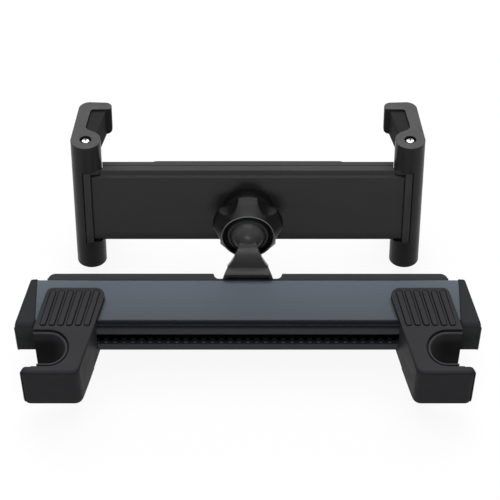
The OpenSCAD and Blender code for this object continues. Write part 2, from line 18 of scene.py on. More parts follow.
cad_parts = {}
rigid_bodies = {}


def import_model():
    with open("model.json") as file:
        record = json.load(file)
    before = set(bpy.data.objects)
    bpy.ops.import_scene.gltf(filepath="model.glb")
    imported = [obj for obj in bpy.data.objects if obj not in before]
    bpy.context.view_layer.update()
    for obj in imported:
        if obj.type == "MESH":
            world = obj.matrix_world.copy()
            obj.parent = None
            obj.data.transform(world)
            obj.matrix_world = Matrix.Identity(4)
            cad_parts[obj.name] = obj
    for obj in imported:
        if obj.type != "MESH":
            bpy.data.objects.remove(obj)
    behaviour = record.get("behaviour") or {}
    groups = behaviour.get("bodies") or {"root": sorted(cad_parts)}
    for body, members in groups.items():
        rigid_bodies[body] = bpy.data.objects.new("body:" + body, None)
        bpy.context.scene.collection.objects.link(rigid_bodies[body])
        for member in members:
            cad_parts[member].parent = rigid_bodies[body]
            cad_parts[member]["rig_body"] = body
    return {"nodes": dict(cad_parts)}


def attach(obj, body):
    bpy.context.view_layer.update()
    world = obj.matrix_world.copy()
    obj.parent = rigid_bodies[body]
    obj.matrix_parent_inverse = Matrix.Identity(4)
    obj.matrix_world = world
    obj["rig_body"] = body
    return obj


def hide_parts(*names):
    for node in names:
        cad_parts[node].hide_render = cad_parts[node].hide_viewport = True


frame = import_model()

LOG = logging.getLogger("headrest_mount")
MM = 0.001
# Vertices nearer than this, in metres, are one
WELD = 1e-6
Point = tuple[float, float, float]
Rgb = tuple[int, int, int]

LEAN = math.radians(-16.5)
BALL_CENTRE = Vector((0.0, 54.9, 23.5))
CRADLE = Matrix.Translation(BALL_CENTRE * MM) @ Matrix.Rotation(LEAN, 4, "X")
CRADLE_OUT = Vector((0.0, math.cos(LEAN), math.sin(LEAN)))
CRADLE_UP = Vector((0.0, -math.sin(LEAN), math.cos(LEAN)))
PIVOT_X, PIVOT_Y = 72.8, 22.5


def linear(colour: Rgb) -> tuple[float, float, float, float]:
    """Turns a screen colour into the linear colour that a shader takes.

    Args:
        colour: Red, green and blue from 0 to 255.

    Returns:
        The linear colour with full alpha.
    """
    parts = [c / 255 for c in colour]
    lit = [p / 12.92 if p <= 0.04045 else ((p + 0.055) / 1.055) ** 2.4 for p in parts]
    return (lit[0], lit[1], lit[2], 1.0)


class Slot(Enum):
    """The record's material slots."""

    PLASTIC = "black_plastic"
    ALLOY = "anodised_alloy"
    RUBBER = "soft_rubber"
    NYLON = "nylon"
    STEEL = "bright_steel"


class Side(Enum):
    """The left and right halves of the mount."""

    LEFT = -1
    RIGHT = 1

    @property
    def word(self) -> str:
        """The side's name in lower case."""
        return self.name.lower()


# Shaders

# Number of the colour sockets on a Mix node, which shares its names among its data types
MIX_FIRST, MIX_SECOND, MIX_RESULT = 6, 7, 2


class Wire:
    """An output socket of a shader tree that takes part in written maths."""

    def __init__(self, tree: bpy.types.NodeTree, socket: bpy.types.NodeSocket) -> None:
        """Keeps the tree that new Math nodes go into, and the output socket."""
        self.tree = tree
        self.socket = socket

    def _maths(self, operation: str, first: "Term", second: "Term") -> "Wire":
        """One Math node on two terms."""
        return NodeTree(self.tree).maths(operation, first, second)

    def __add__(self, other: "Term") -> "Wire":
        """Sum of two terms."""
        return self._maths("ADD", self, other)

    def __radd__(self, other: "Term") -> "Wire":
        """Sum with a number in front."""
        return self._maths("ADD", other, self)

    def __sub__(self, other: "Term") -> "Wire":
        """Difference of two terms."""
        return self._maths("SUBTRACT", self, other)

    def __rsub__(self, other: "Term") -> "Wire":
        """Difference with a number in front."""
        return self._maths("SUBTRACT", other, self)

    def __mul__(self, other: "Term") -> "Wire":
        """Product of two terms."""
        return self._maths("MULTIPLY", self, other)

    def __rmul__(self, other: "Term") -> "Wire":
        """Product with a number in front."""
        return self._maths("MULTIPLY", other, self)

    def __pow__(self, other: "Term") -> "Wire":
        """Power of a wire."""
        return self._maths("POWER", self, other)


Term = Union[Wire, float, int]
Shade = Union[Wire, Sequence[float]]


class NodeTree:
    """A node tree with one short way to add its nodes."""

    def __init__(self, tree: bpy.types.NodeTree) -> None:
        """Keeps the tree that nodes go into."""
        self.tree = tree

    def node(
        self,
        kind: str,
        settings: Optional[dict[str, Any]] = None,
        inputs: Optional[dict[Union[str, int], Any]] = None,
        output: Union[str, int] = 0,
    ) -> Wire:
        """Adds a node with its settings first and its sockets after them.

        Args:
            kind: The node's type.
            settings: Attributes by name.
            inputs: Values, wires or lists of wires by socket name or number.
            output: The output that is wanted.

        Returns:
            That output.
        """
        made = self.tree.nodes.new(kind)
        for key, value in (settings or {}).items():
            setattr(made, key, value)
        for key, value in (inputs or {}).items():
            for term in value if isinstance(value, list) else [value]:
                if isinstance(term, Wire):
                    self.tree.links.new(term.socket, made.inputs[key])
                else:
                    made.inputs[key].default_value = term
        return Wire(self.tree, made.outputs[output] if len(made.outputs) else made.inputs[0])

    def maths(self, operation: str, *terms: Term) -> Wire:
        """A Math node of the given operation on its terms."""
        return self.node("ShaderNodeMath", {"operation": operation}, dict(enumerate(terms)))

    def axes(self, vector: Wire) -> list[Wire]:
        """The three parts of a vector."""
        kind, held = "ShaderNodeSeparateXYZ", {"Vector": vector}
        return [self.node(kind, None, held, axis) for axis in "XYZ"]


class FinishTree(NodeTree):
    """The shader tree of one finish, with short ways to add its patterns."""

    def __init__(self, name: str) -> None:
        """Makes an empty material.

        Args:
            name: The material's name.
        """
        self.material = bpy.data.materials.new(name)
        self.material.use_nodes = True
        super().__init__(self.material.node_tree)
        self.tree.nodes.clear()

    def place(self, stretch: Point = (1.0, 1.0, 1.0), turn: Point = (0.0, 0.0, 0.0)) -> Wire:
        """Object coordinates, stretched and turned.

        Args:
            stretch: Factor along each axis.
            turn: Turn about each axis in degrees.

        Returns:
            The mapped coordinates.
        """
        spot = self.node("ShaderNodeTexCoord", output="Object")
        angles = tuple(math.radians(a) for a in turn)
        held = {"Vector": spot, "Scale": stretch, "Rotation": angles}
        return self.node("ShaderNodeMapping", None, held)

    def noise(self, vector: Wire, size_mm: float, detail: float = 2.0, rough: float = 0.5) -> Wire:
        """A noise pattern.

        Args:
            vector: Coordinates in metres.
            size_mm: Size of a patch.
            detail: Number of finer layers.
            rough: Weight of the finer layers.

        Returns:
            The pattern, from 0 to 1.
        """
        values = {
            "Vector": vector, "Scale": 1.0 / (size_mm * MM), "Detail": detail, "Roughness": rough,
        }
        return self.node("ShaderNodeTexNoise", {"noise_dimensions": "3D"}, values, "Fac")

    def cells(self, vector: Wire, size_mm: float) -> Wire:
        """A pattern of small round cells, as the distance to the nearest cell centre."""
        held = {"Vector": vector, "Scale": 1.0 / (size_mm * MM)}
        return self.node("ShaderNodeTexVoronoi", None, held, "Distance")

    def reach(self, vector: Wire, direction: Point) -> Wire:
        """How far a vector reaches in a direction."""
        held = {0: vector, 1: direction}
        return self.node("ShaderNodeVectorMath", {"operation": "DOT_PRODUCT"}, held, "Value")

    def scaled(self, colour: Wire, share: Wire) -> Wire:
        """A colour times a share."""
        held = {0: colour, "Scale": share}
        return self.node("ShaderNodeVectorMath", {"operation": "SCALE"}, held)

    def between(
        self, value: Wire, low: float, high: float, to_low: float = 0.0, to_high: float = 1.0
    ) -> Wire:
        """Maps a span of a pattern onto another span, clamped.

        Args:
            value: The pattern.
            low: Its low end.
            high: Its high end.
            to_low: Result at the low end.
            to_high: Result at the high end.

        Returns:
            The mapped pattern.
        """
        ends = {
            "Value": value, "From Min": low, "From Max": high, "To Min": to_low, "To Max": to_high,
        }
        return self.node("ShaderNodeMapRange", {"clamp": True}, ends)

    def blend(self, factor: Wire, first: Shade, second: Shade) -> Wire:
        """Two colours mixed, with the share of the second one."""
        held = {0: factor, MIX_FIRST: first, MIX_SECOND: second}
        return self.node("ShaderNodeMix", {"data_type": "RGBA"}, held, MIX_RESULT)

    def bump(self, height: Wire, depth_mm: float, strength: float) -> Wire:
        """The normal of a height pattern, whose 0 and 1 are depth_mm apart."""
        held = {"Height": height, "Distance": depth_mm * MM, "Strength": strength}
        return self.node("ShaderNodeBump", None, held)

    def surface(self, sockets: dict[Union[str, int], Any]) -> bpy.types.Material:
        """Ends the tree in a Principled shader.

        Args:
            sockets: The shader's values or wires by socket name.

        Returns:
            The finished material.
        """
        shader = self.node("ShaderNodeBsdfPrincipled", None, sockets)
        self.node("ShaderNodeOutputMaterial", None, {"Surface": shader})
        return self.material


def shades(colour: Rgb, spread: float) -> list[tuple[float, ...]]:
    """A darker and a lighter linear colour, each off a screen colour by a share of it."""
    base = linear(colour)[:3]
    return [tuple(c * (1 + way * spread) for c in base) + (1.0,) for way in (-1, 1)]


@dataclass(frozen=True)
class Band:
    """A painted band, for a highlight or a shade: a tint that sets in along a direction of the
    mount's frame, between two places.
    """

    tint: Rgb
    none_mm: float
    full_mm: float
    along: Point = (0.0, 0.0, 1.0)

    def over(self, tree: FinishTree, spot: Wire, shade: Wire) -> Wire:
        """The colour with the tint on it, from the place on the piece."""
        share = tree.between(tree.reach(spot, self.along), self.none_mm * MM, self.full_mm * MM)
        return tree.blend(share, shade, linear(self.tint))


@dataclass(frozen=True)
class MouldedPlastic:
    """Spark-textured moulding with flow shading, faint rubbed patches, hair scratches and painted
    light.
    """

    name: str
    colour: Rgb
    roughness: float = 0.42
    gloss: float = 0.14
    grain_mm: float = 0.3
    grain_depth_mm: float = 0.012
    spread: float = 0.05
    slot: Slot = Slot.PLASTIC
    # Painted light from above: faces that look along up are lightened by the gain, from the first
    # facing to the second, and only near the middle when a half width is given
    top_gain: float = 1.0
    faded_from: float = 0.55
    faded_to: float = 0.98
    faded_half_mm: Optional[float] = None
    up: Point = (0.0, 0.0, 1.0)
    bands: tuple[Band, ...] = ()

    def build(self) -> bpy.types.Material:
        """Builds the material.

        Returns:
            The material.
        """
        tree = FinishTree(self.name)
        spot = tree.place()
        grain = tree.cells(spot, self.grain_mm)
        fine = tree.noise(spot, self.grain_mm * 0.5, 2.0, 0.6)
        flow = tree.noise(tree.place((0.3, 1.0, 1.0)), 16.0, 4.0, 0.55)
        rubbed = tree.noise(spot, 7.0, 5.0, 0.62)
        hair = tree.noise(tree.place((0.03, 1.0, 1.0), (0.0, 0.0, 24.0)), 0.5, 2.0, 0.5)
        low, high = shades(self.colour, self.spread)
        shade = tree.blend(tree.between(flow * 0.75 + fine * 0.25, 0.36, 0.64), low, high)
        # Painted light on the faces that look up
        if self.top_gain != 1.0:
            shade = self.faded(tree, shade)
        for band in self.bands:
            shade = band.over(tree, spot, shade)
        rough = tree.between(rubbed, 0.32, 0.72, self.roughness - 0.05, self.roughness + 0.07)
        scratch = tree.between(hair, 0.66, 0.74, 0.0, 0.05)
        height = grain * 0.6 + fine * 0.6 - scratch * 3.0
        return tree.surface({
            "Base Color": shade,
            "Roughness": rough + fine * 0.04 - scratch,
            "Specular IOR Level": self.gloss,
            "Normal": tree.bump(height, self.grain_depth_mm, 0.6),
        })

    def faded(self, tree: FinishTree, shade: Wire) -> Wire:
        """Paints light from above on the faces that look up, lightening them by a share.

        Args:
            tree: The material's tree.
            shade: The colour so far.

        Returns:
            The colour with painted light on its upper faces.
        """
        upward = tree.reach(tree.node("ShaderNodeTexCoord", output="Normal"), self.up)
        share = tree.between(upward, self.faded_from, self.faded_to, 1.0, self.top_gain)
        # Keeps the painted highlight to a strip about the middle of the piece
        if self.faded_half_mm is not None:
            width = tree.maths("ABSOLUTE", tree.reach(tree.place(), (1.0, 0.0, 0.0)))
            edge = self.faded_half_mm * MM
            share = (share - 1.0) * tree.between(width, edge * 0.9, edge * 1.1, 1.0, 0.0) + 1.0
        return tree.scaled(shade, share)


@dataclass(frozen=True)
class AnodisedSheet:
    """Fine-blasted and dyed aluminium sheet, drawn along its length, with painted shade that
    darkens it at its front.
    """

    name: str
    colour: Rgb
    roughness: float = 0.4
    metal: float = 0.35
    gloss: float = 0.3
    slot: Slot = Slot.ALLOY
    front_mm: float = 15.0
    back_mm: float = 36.0
    front_share: float = 0.5

    def build(self) -> bpy.types.Material:
        """Builds the material.

        Returns:
            The material.
        """
        tree = FinishTree(self.name)
        spot = tree.place()
        blast = tree.noise(spot, 0.14, 3.0, 0.65)
        drawn = tree.noise(tree.place((0.01, 1.0, 1.0)), 0.45, 3.0, 0.6)
        cloud = tree.noise(tree.place((0.4, 1.0, 1.0)), 26.0, 3.0, 0.5)
        dark, pale = shades(self.colour, 0.045)
        mottle = tree.between(cloud * 0.55 + blast * 0.25 + drawn * 0.2, 0.36, 0.64)
        # Painted shade: the colour falls off towards the front, to front_share of it at front_mm
        depth = tree.reach(spot, (0.0, 1.0, 0.0))
        painted_front_shade = tree.between(depth, self.front_mm * MM, self.back_mm * MM, self.front_share, 1.0)
        smooth, coarse = self.roughness - 0.04, self.roughness + 0.05
        return tree.surface({
            "Base Color": tree.scaled(tree.blend(mottle, dark, pale), painted_front_shade),
            "Metallic": self.metal,
            "Roughness": tree.between(drawn * 0.5 + cloud * 0.5, 0.34, 0.66, smooth, coarse),
            "Specular IOR Level": self.gloss,
            "Normal": tree.bump(blast + drawn * 0.4, 0.004, 0.4),
        })


@dataclass(frozen=True)
class SoftRubber:
    """Matt elastomer with a fine leathery skin and a little dust in it."""

    name: str
    colour: Rgb
    roughness: float = 0.66
    slot: Slot = Slot.RUBBER
    bands: tuple[Band, ...] = ()

    def build(self) -> bpy.types.Material:
        """Builds the material.

        Returns:
            The material.
        """
        tree = FinishTree(self.name)
        spot = tree.place()
        skin = tree.cells(spot, 0.6)
        fine = tree.noise(spot, 0.22, 3.0, 0.6)
        dust = tree.noise(spot, 5.0, 5.0, 0.65)
        clean, dusty = shades(self.colour, 0.08)
        shade = tree.blend(tree.between(dust * 0.8 + fine * 0.2, 0.4, 0.7), clean, dusty)
        for band in self.bands:
            shade = band.over(tree, spot, shade)
        smooth, coarse = self.roughness - 0.05, self.roughness + 0.08
        return tree.surface({
            "Base Color": shade,
            "Roughness": tree.between(dust, 0.3, 0.75, smooth, coarse),
            "Specular IOR Level": 0.03,
            "Normal": tree.bump(skin * 0.7 + fine * 0.5, 0.025, 0.5),
        })


@dataclass(frozen=True)
class TurnedSteel:
    """Bright plated steel with turning marks and faint fingerprints."""

    name: str
    colour: Rgb
    roughness: float = 0.2
    slot: Slot = Slot.STEEL

    def build(self) -> bpy.types.Material:
        """Builds the material.

        Returns:
            The material.
        """
        tree = FinishTree(self.name)
        marks = tree.noise(tree.place((1.0, 1.0, 0.2)), 0.2, 2.0, 0.5)
        prints = tree.noise(tree.place(), 1.4, 4.0, 0.6)
        stained, bright = shades(self.colour, 0.05)
        smooth, coarse = self.roughness - 0.05, self.roughness + 0.1
        return tree.surface({
            "Base Color": tree.blend(tree.between(prints, 0.35, 0.7), bright, stained),
            "Metallic": 1.0,
            "Roughness": tree.between(prints, 0.3, 0.8, smooth, coarse),
            "Normal": tree.bump(marks, 0.004, 0.3),
        })


Finish = Union[MouldedPlastic, AnodisedSheet, SoftRubber, TurnedSteel]

BODY_BLACK = MouldedPlastic("moulded_black", (56, 57, 59), 0.4, 0.02)
# Painted shade with a bluish painted reflection in it: the channel darkens to a dark blue from 7.6
# mm up, fully from 8.8 mm
CHANNEL_BLACK = MouldedPlastic(
    "channel_black", (46, 48, 51), 0.32, 0.04, 0.3, 0.008, bands=(Band((12, 16, 24), 7.6, 8.8),)
)
# Painted light: the hook's upward faces are lightened
HOOK_BLACK = MouldedPlastic("hook_black", (39, 39, 41), 0.44, 0.02, 0.34, top_gain=1.65)
CAP_BLACK = MouldedPlastic("cap_black", (46, 47, 48), 0.42, 0.02)
# Painted light: the cradle's faces that look along its own up are lightened
CRADLE_BLACK = MouldedPlastic(
    "cradle_black", (58, 58, 58), 0.44, 0.02, top_gain=1.15, up=tuple(CRADLE_UP)
)
COLUMN_BLACK = MouldedPlastic("column_black", (58, 58, 58), 0.28, 0.09, 0.26, 0.006)
# Painted light: the jaws' faces that look along the cradle's up are lightened
JAW_BLACK = MouldedPlastic(
    "jaw_black", (37, 37, 37), 0.3, 0.1, 0.28, 0.008, top_gain=1.4, up=tuple(CRADLE_UP)
)
# Painted light: the nut's very dark colour is painted shade, lightened by painted highlights on the
# middle lobe's upward faces and on the bead round its mouth
NUT_BLACK = MouldedPlastic(
    "nut_black", (17, 17, 17), 0.3, 0.04, 0.26, 0.006, top_gain=5.4, faded_from=0.8,
    faded_half_mm=9.1, up=(0.0, -0.254, 0.967),
    bands=(Band((88, 88, 88), 42.75, 42.5, tuple(CRADLE_OUT)),)
)
# Painted shade: a near-black for the socket in the shadow behind the nut, the crosses in the screw
# recesses and the floor of the rib grooves
PAINTED_SHADE_BLACK = MouldedPlastic("socket_black", (20, 20, 20), 0.4, 0.02, 0.26, 0.008)
# Painted light: the arm's and ball's upward faces are lightened
ARM_BLACK = MouldedPlastic("arm_black", (46, 46, 46), 0.3, 0.12, 0.26, 0.006, top_gain=1.5)
INNER_NYLON = MouldedPlastic("inner_nylon", (44, 44, 45), 0.4, 0.08, 0.25, 0.008, 0.05, Slot.NYLON)
# Painted light: a lighter copy of the nylon for the slip ring and ball seat, which lie in shade
# inside the nut
LIT_RING_NYLON = MouldedPlastic("ring_nylon", (48, 49, 50), 0.45, 0.02, 0.25, 0.008, 0.05, Slot.NYLON)
# Painted shade: a darker copy of the nylon for the rail and teeth deep in the slot
SLOT_SHADE_NYLON = MouldedPlastic("dark_nylon", (27, 28, 29), 0.45, 0.02, 0.25, 0.008, 0.05, Slot.NYLON)
# Painted highlight: pale grey for the glints on the slot's teeth
GLINT_GREY = MouldedPlastic("scale_grey", (128, 128, 128), 0.5, 0.05, 0.2, 0.004)
COVER_ALLOY = AnodisedSheet("anodised_blue_grey", (58, 65, 74))
# Painted highlight: the liner's bead is lightened along its top, fully from 13.4 mm up
LINER_RUBBER = SoftRubber("liner_rubber", (40, 40, 42), bands=(Band((62, 62, 64), 13.1, 13.4),))
PAD_RUBBER = SoftRubber("pad_rubber", (37, 37, 37))
SCREW_STEEL = TurnedSteel("screw_steel", (214, 215, 217))


class FinishShelf:
    """Builds each finish once and hands it out."""

    def __init__(self) -> None:
        """Starts with an empty shelf."""
        self._made: dict[str, bpy.types.Material] = {}

    def take(self, finish: Finish) -> bpy.types.Material:
        """The material of a finish, built the first time it is asked for.

        Args:
            finish: The finish.

        Returns:
            Its material.
        """
        if finish.name not in self._made:
            self._made[finish.name] = finish.build()
        return self._made[finish.name]


SHELF = FinishShelf()


# Making pieces

# How much more the larger faces count in the shading of a corner
FLAT_PULL = 80


def in_cradle(x: float, y: float, z: float) -> Vector:
    """The place in the mount's frame of a point along, out of and up the cradle."""
    return BALL_CENTRE + Vector((x, 0.0, 0.0)) + CRADLE_OUT * y + CRADLE_UP * z


def body_of_node(node: str) -> str:
    """The body that a CAD node rides on."""
    return frame["nodes"][node]["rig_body"]


def settle(
    obj: bpy.types.Object, finish: Finish, body: str, stands_for: Sequence[str] = (),
    smooth: float = 32.0
) -> bpy.types.Object:
    """Gives a finished mesh its shading, material and body, and logs it.

    Args:
        obj: The piece, at the origin.
        finish: Its finish.
        body: The body it rides on.
        stands_for: CAD nodes that it replaces.
        smooth: Angle in degrees above which an edge stays sharp.

    Returns:
        The same object.
    """
    mesh = obj.data
    mesh.shade_smooth()
    mesh.set_sharp_from_angle(angle=math.radians(smooth))
    mesh.materials.clear()
    mesh.materials.append(SHELF.take(finish))
    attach(obj, body)
    if stands_for:
        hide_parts(*stands_for)
    evened = obj.modifiers.new("even", "WEIGHTED_NORMAL")
    evened.keep_sharp = True
    evened.weight = FLAT_PULL
    LOG.info("%s: %d faces on %s in %s", obj.name, len(mesh.polygons), body, finish.name)
    return obj


def piece_from(
    bm: bmesh.types.BMesh, name: str, place: Optional[Matrix] = None
) -> bpy.types.Object:
    """Makes an object at the origin from an edited mesh.

    Args:
        bm: The mesh, which is freed.
        name: Name of the piece.
        place: Matrix that is applied to the mesh.

    Returns:
        The object, linked to the scene.
    """
    if place is not None:
        bmesh.ops.transform(bm, matrix=place, verts=bm.verts)
    bmesh.ops.recalc_face_normals(bm, faces=bm.faces)
    mesh = bpy.data.meshes.new(name)
    bm.to_mesh(mesh)
    bm.free()
    for extra in ("custom_normal", "normal"):
        if extra in mesh.attributes:
            mesh.attributes.remove(mesh.attributes[extra])
    obj = bpy.data.objects.new(name, mesh)
    bpy.context.scene.collection.objects.link(obj)
    return obj


def frozen(obj: bpy.types.Object) -> bpy.types.Object:
    """Replaces an object's mesh by its evaluated one and removes its modifiers.

    Args:
        obj: The object with live modifiers.

    Returns:
        The same object with a plain mesh.
    """
    graph = bpy.context.evaluated_depsgraph_get()
    graph.update()
    mesh = bpy.data.meshes.new_from_object(obj.evaluated_get(graph), depsgraph=graph)
    old = obj.data
    obj.modifiers.clear()
    obj.data = mesh
    mesh.name = obj.name
    bpy.data.meshes.remove(old)
    return obj


@contextmanager
def opened(obj: bpy.types.Object) -> Iterator[bmesh.types.BMesh]:
    """Opens an object's mesh for editing and writes it back.

    Args:
        obj: The object.

    Yields:
        Its mesh as an editable copy.
    """
    bm = bmesh.new()
    bm.from_mesh(obj.data)
    yield bm
    bm.to_mesh(obj.data)
    bm.free()


def cut_off(bm: bmesh.types.BMesh, height_mm: float) -> None:
    """Takes off what stands above a height and closes the cut.

    Args:
        bm: The mesh.
        height_mm: Height of the cut.
    """
    bmesh.ops.bisect_plane(
        bm, geom=[*bm.verts, *bm.edges, *bm.faces], dist=WELD,
        plane_co=(0.0, 0.0, height_mm * MM), plane_no=(0.0, 0.0, 1.0), clear_outer=True
    )
    bmesh.ops.holes_fill(bm, edges=[edge for edge in bm.edges if edge.is_boundary])


def skin(bm: bmesh.types.BMesh, loops: Sequence[Sequence[bmesh.types.BMVert]]) -> None:
    """Joins each loop of vertices to the next one by a strip of faces.

    Args:
        bm: The mesh.
        loops: Loops of the same length.
    """
    for first, second in zip(loops, loops[1:]):
        for place in range(len(first)):
            after = (place + 1) % len(first)
            bm.faces.new((first[place], first[after], second[after], second[place]))


@dataclass(frozen=True)
class EdgeBreak:
    """How the sharp edges of a moulded solid are broken."""

    radius_mm: float = 0.3
    steps: int = 2
    from_angle: float = 30.0
    wanted: Optional[Callable[[Vector], bool]] = None
    along: Optional[Vector] = None
    parallel: float = 0.98


def solid_copy(node: str, dissolve: float = 0.6) -> bmesh.types.BMesh:
    """A merged copy of a CAD node's triangles with its flat faces joined.

    Args:
        node: The CAD node.
        dissolve: Angle in degrees under which neighbouring triangles are joined.

    Returns:
        The mesh as an editable copy.
    """
    bm = bmesh.new()
    bm.from_mesh(frame["nodes"][node].data)
    for layer in list(bm.loops.layers.float_vector.values()):
        bm.loops.layers.float_vector.remove(layer)
    bmesh.ops.remove_doubles(bm, verts=bm.verts, dist=2 * WELD)
    bmesh.ops.dissolve_limit(
        bm, angle_limit=math.radians(dissolve), use_dissolve_boundaries=False,
        verts=bm.verts, edges=bm.edges
    )
    return bm


def break_edges(bm: bmesh.types.BMesh, rule: EdgeBreak) -> None:
    """Rounds the sharp edges of a mesh.

    Args:
        bm: The mesh.
        rule: Radius, steps and the edges that are wanted.
    """
    limit = math.radians(rule.from_angle)
    edges = []
    for edge in bm.edges:
        if len(edge.link_faces) != 2 or edge.calc_face_angle(0.0) < limit:
            continue
        ends = [vert.co / MM for vert in edge.verts]
        way = (ends[1] - ends[0]).normalized()
        if rule.along is not None and abs(way.dot(rule.along)) < rule.parallel:
            continue
        if rule.wanted is None or all(rule.wanted(end) for end in ends):
            edges.append(edge)
    if edges:
        bmesh.ops.bevel(
            bm, geom=edges, offset=rule.radius_mm * MM, offset_type="OFFSET",
            segments=rule.steps, profile=0.5, affect="EDGES", clamp_overlap=False,
            miter_outer="ARC", loop_slide=True
        )


def moulded(
    node: str, name: str, finish: Finish, rules: Sequence[EdgeBreak] = (EdgeBreak(),)
) -> bpy.types.Object:
    """Makes the moulded piece that stands for a CAD node, with its edges broken.

    Args:
        node: The CAD node.
        name: Name of the piece.
        finish: Its finish.
        rules: Edge rules, worked in order.

    Returns:
        The piece.
    """
    bm = solid_copy(node)
    for rule in rules:
        break_edges(bm, rule)
    return settle(piece_from(bm, name), finish, body_of_node(node), (node,))


def dress(node: str, finish: Finish) -> None:
    """Gives a carried-over CAD node its finish.

    Args:
        node: The CAD node.
        finish: The finish.
    """
    obj = frame["nodes"][node]
    material = SHELF.take(finish)
    for place in range(len(obj.material_slots)):
        obj.material_slots[place].material = material
    LOG.info("%s: CAD node in %s", node, finish.name)


# Repeated forms


class Form(NodeTree):
    """A Geometry Nodes tree with named sizes, which grows plain meshes."""

    FLOAT = "NodeSocketFloat"
    WHOLE = "NodeSocketInt"
    SHAPE = "NodeSocketGeometry"

    def __init__(self, name: str, sizes: dict[str, str]) -> None:
        """Makes the tree with its sockets.

        Args:
            name: The tree's name.
            sizes: Socket type by the name of each size.
        """
        super().__init__(bpy.data.node_groups.new(name, "GeometryNodeTree"))
        self._socket("Seeds", self.SHAPE)
        self.keys = {label: self._socket(label, kind) for label, kind in sizes.items()}
        self._socket("Mesh", self.SHAPE, "OUTPUT")
        self.entry = self.tree.nodes.new("NodeGroupInput")

    def _socket(self, label: str, kind: str, way: str = "INPUT") -> str:
        """Adds a socket to the tree's interface and gives its identifier."""
        made = self.tree.interface.new_socket(label, in_out=way, socket_type=kind)
        return made.identifier

    def size(self, label: str) -> Wire:
        """The wire of a named size, or of the seed geometry."""
        return Wire(self.tree, self.entry.outputs[label])

    def vector(self, x: Term, y: Term, z: Term) -> Wire:
        """A vector from three terms."""
        return self.node("ShaderNodeCombineXYZ", None, {"X": x, "Y": y, "Z": z})

    def lifted(self, shape: Wire, height: Term) -> Wire:
        """A shape moved along Z."""
        held = {"Geometry": shape, "Translation": self.vector(0.0, 0.0, height)}
        return self.node("GeometryNodeTransform", None, held)

    def joined(self, shapes: list[Wire]) -> Wire:
        """Several shapes as one."""
        return self.node("GeometryNodeJoinGeometry", None, {"Geometry": shapes})

    def crossed(self, width: Wire, span: Wire, tall: Wire, height: Wire) -> list[Wire]:
        """The two boxes of an upright cross.

        Args:
            width: Width of each box.
            span: Length of each box.
            tall: Size of each box along Z.
            height: Where their middles are along Z.

        Returns:
            The two boxes.
        """
        boxes = [
            self.node("GeometryNodeMeshCube", None, {"Size": self.vector(x, y, tall)})
            for x, y in ((width, span), (span, width))
        ]
        return [self.lifted(box, height) for box in boxes]

    def on_seeds(self, shape: Wire) -> Wire:
        """Puts a shape on each seed point, its Z along the point's aim.

        Args:
            shape: The shape.

        Returns:
            The instances.
        """
        kind = {"data_type": "FLOAT_VECTOR"}
        aim = self.node("GeometryNodeInputNamedAttribute", kind, {"Name": "aim"})
        turned = self.node("FunctionNodeAlignRotationToVector", {"axis": "Z"}, {"Vector": aim})
        held = {"Points": self.size("Seeds"), "Instance": shape, "Rotation": turned}
        return self.node("GeometryNodeInstanceOnPoints", None, held)

    def close(self, shape: Wire, finish: Finish) -> None:
        """Ends the tree: instances become a mesh, and the mesh gets its material.

        Args:
            shape: The geometry.
            finish: The finish that it gets.
        """
        real = self.node("GeometryNodeRealizeInstances", None, {"Geometry": shape})
        held = {"Geometry": real, "Material": SHELF.take(finish)}
        made = self.node("GeometryNodeSetMaterial", None, held)
        self.node("NodeGroupOutput", None, {0: made})

    def grow(
        self, name: str, seeds: bmesh.types.BMesh, lengths_mm: dict[str, float],
        numbers: Optional[dict[str, float]] = None
    ) -> bpy.types.Object:
        """Grows one plain mesh.

        Args:
            name: Name of the piece.
            seeds: Mesh that the tree starts from, which is freed.
            lengths_mm: The named sizes that are lengths, in millimetres.
            numbers: The named sizes that aren't lengths.

        Returns:
            The object, with no modifier left.
        """
        mesh = bpy.data.meshes.new(name)
        seeds.to_mesh(mesh)
        seeds.free()
        obj = bpy.data.objects.new(name, mesh)
        bpy.context.scene.collection.objects.link(obj)
        grown = obj.modifiers.new("grown", "NODES")
        grown.node_group = self.tree
        for label, length in lengths_mm.items():
            grown[self.keys[label]] = length * MM
        for label, number in (numbers or {}).items():
            grown[self.keys[label]] = number
        return frozen(obj)


def point_seeds(spots: Sequence[tuple[Vector, Vector]]) -> bmesh.types.BMesh:
    """Seed points that know which way they look.

    Args:
        spots: Place in millimetres and direction of each point.

    Returns:
        The points as a mesh with an "aim" attribute.
    """
    bm = bmesh.new()
    aim = bm.verts.layers.float_vector.new("aim")
    for place, direction in spots:
        bm.verts.new(place * MM)[aim] = direction
    return bm


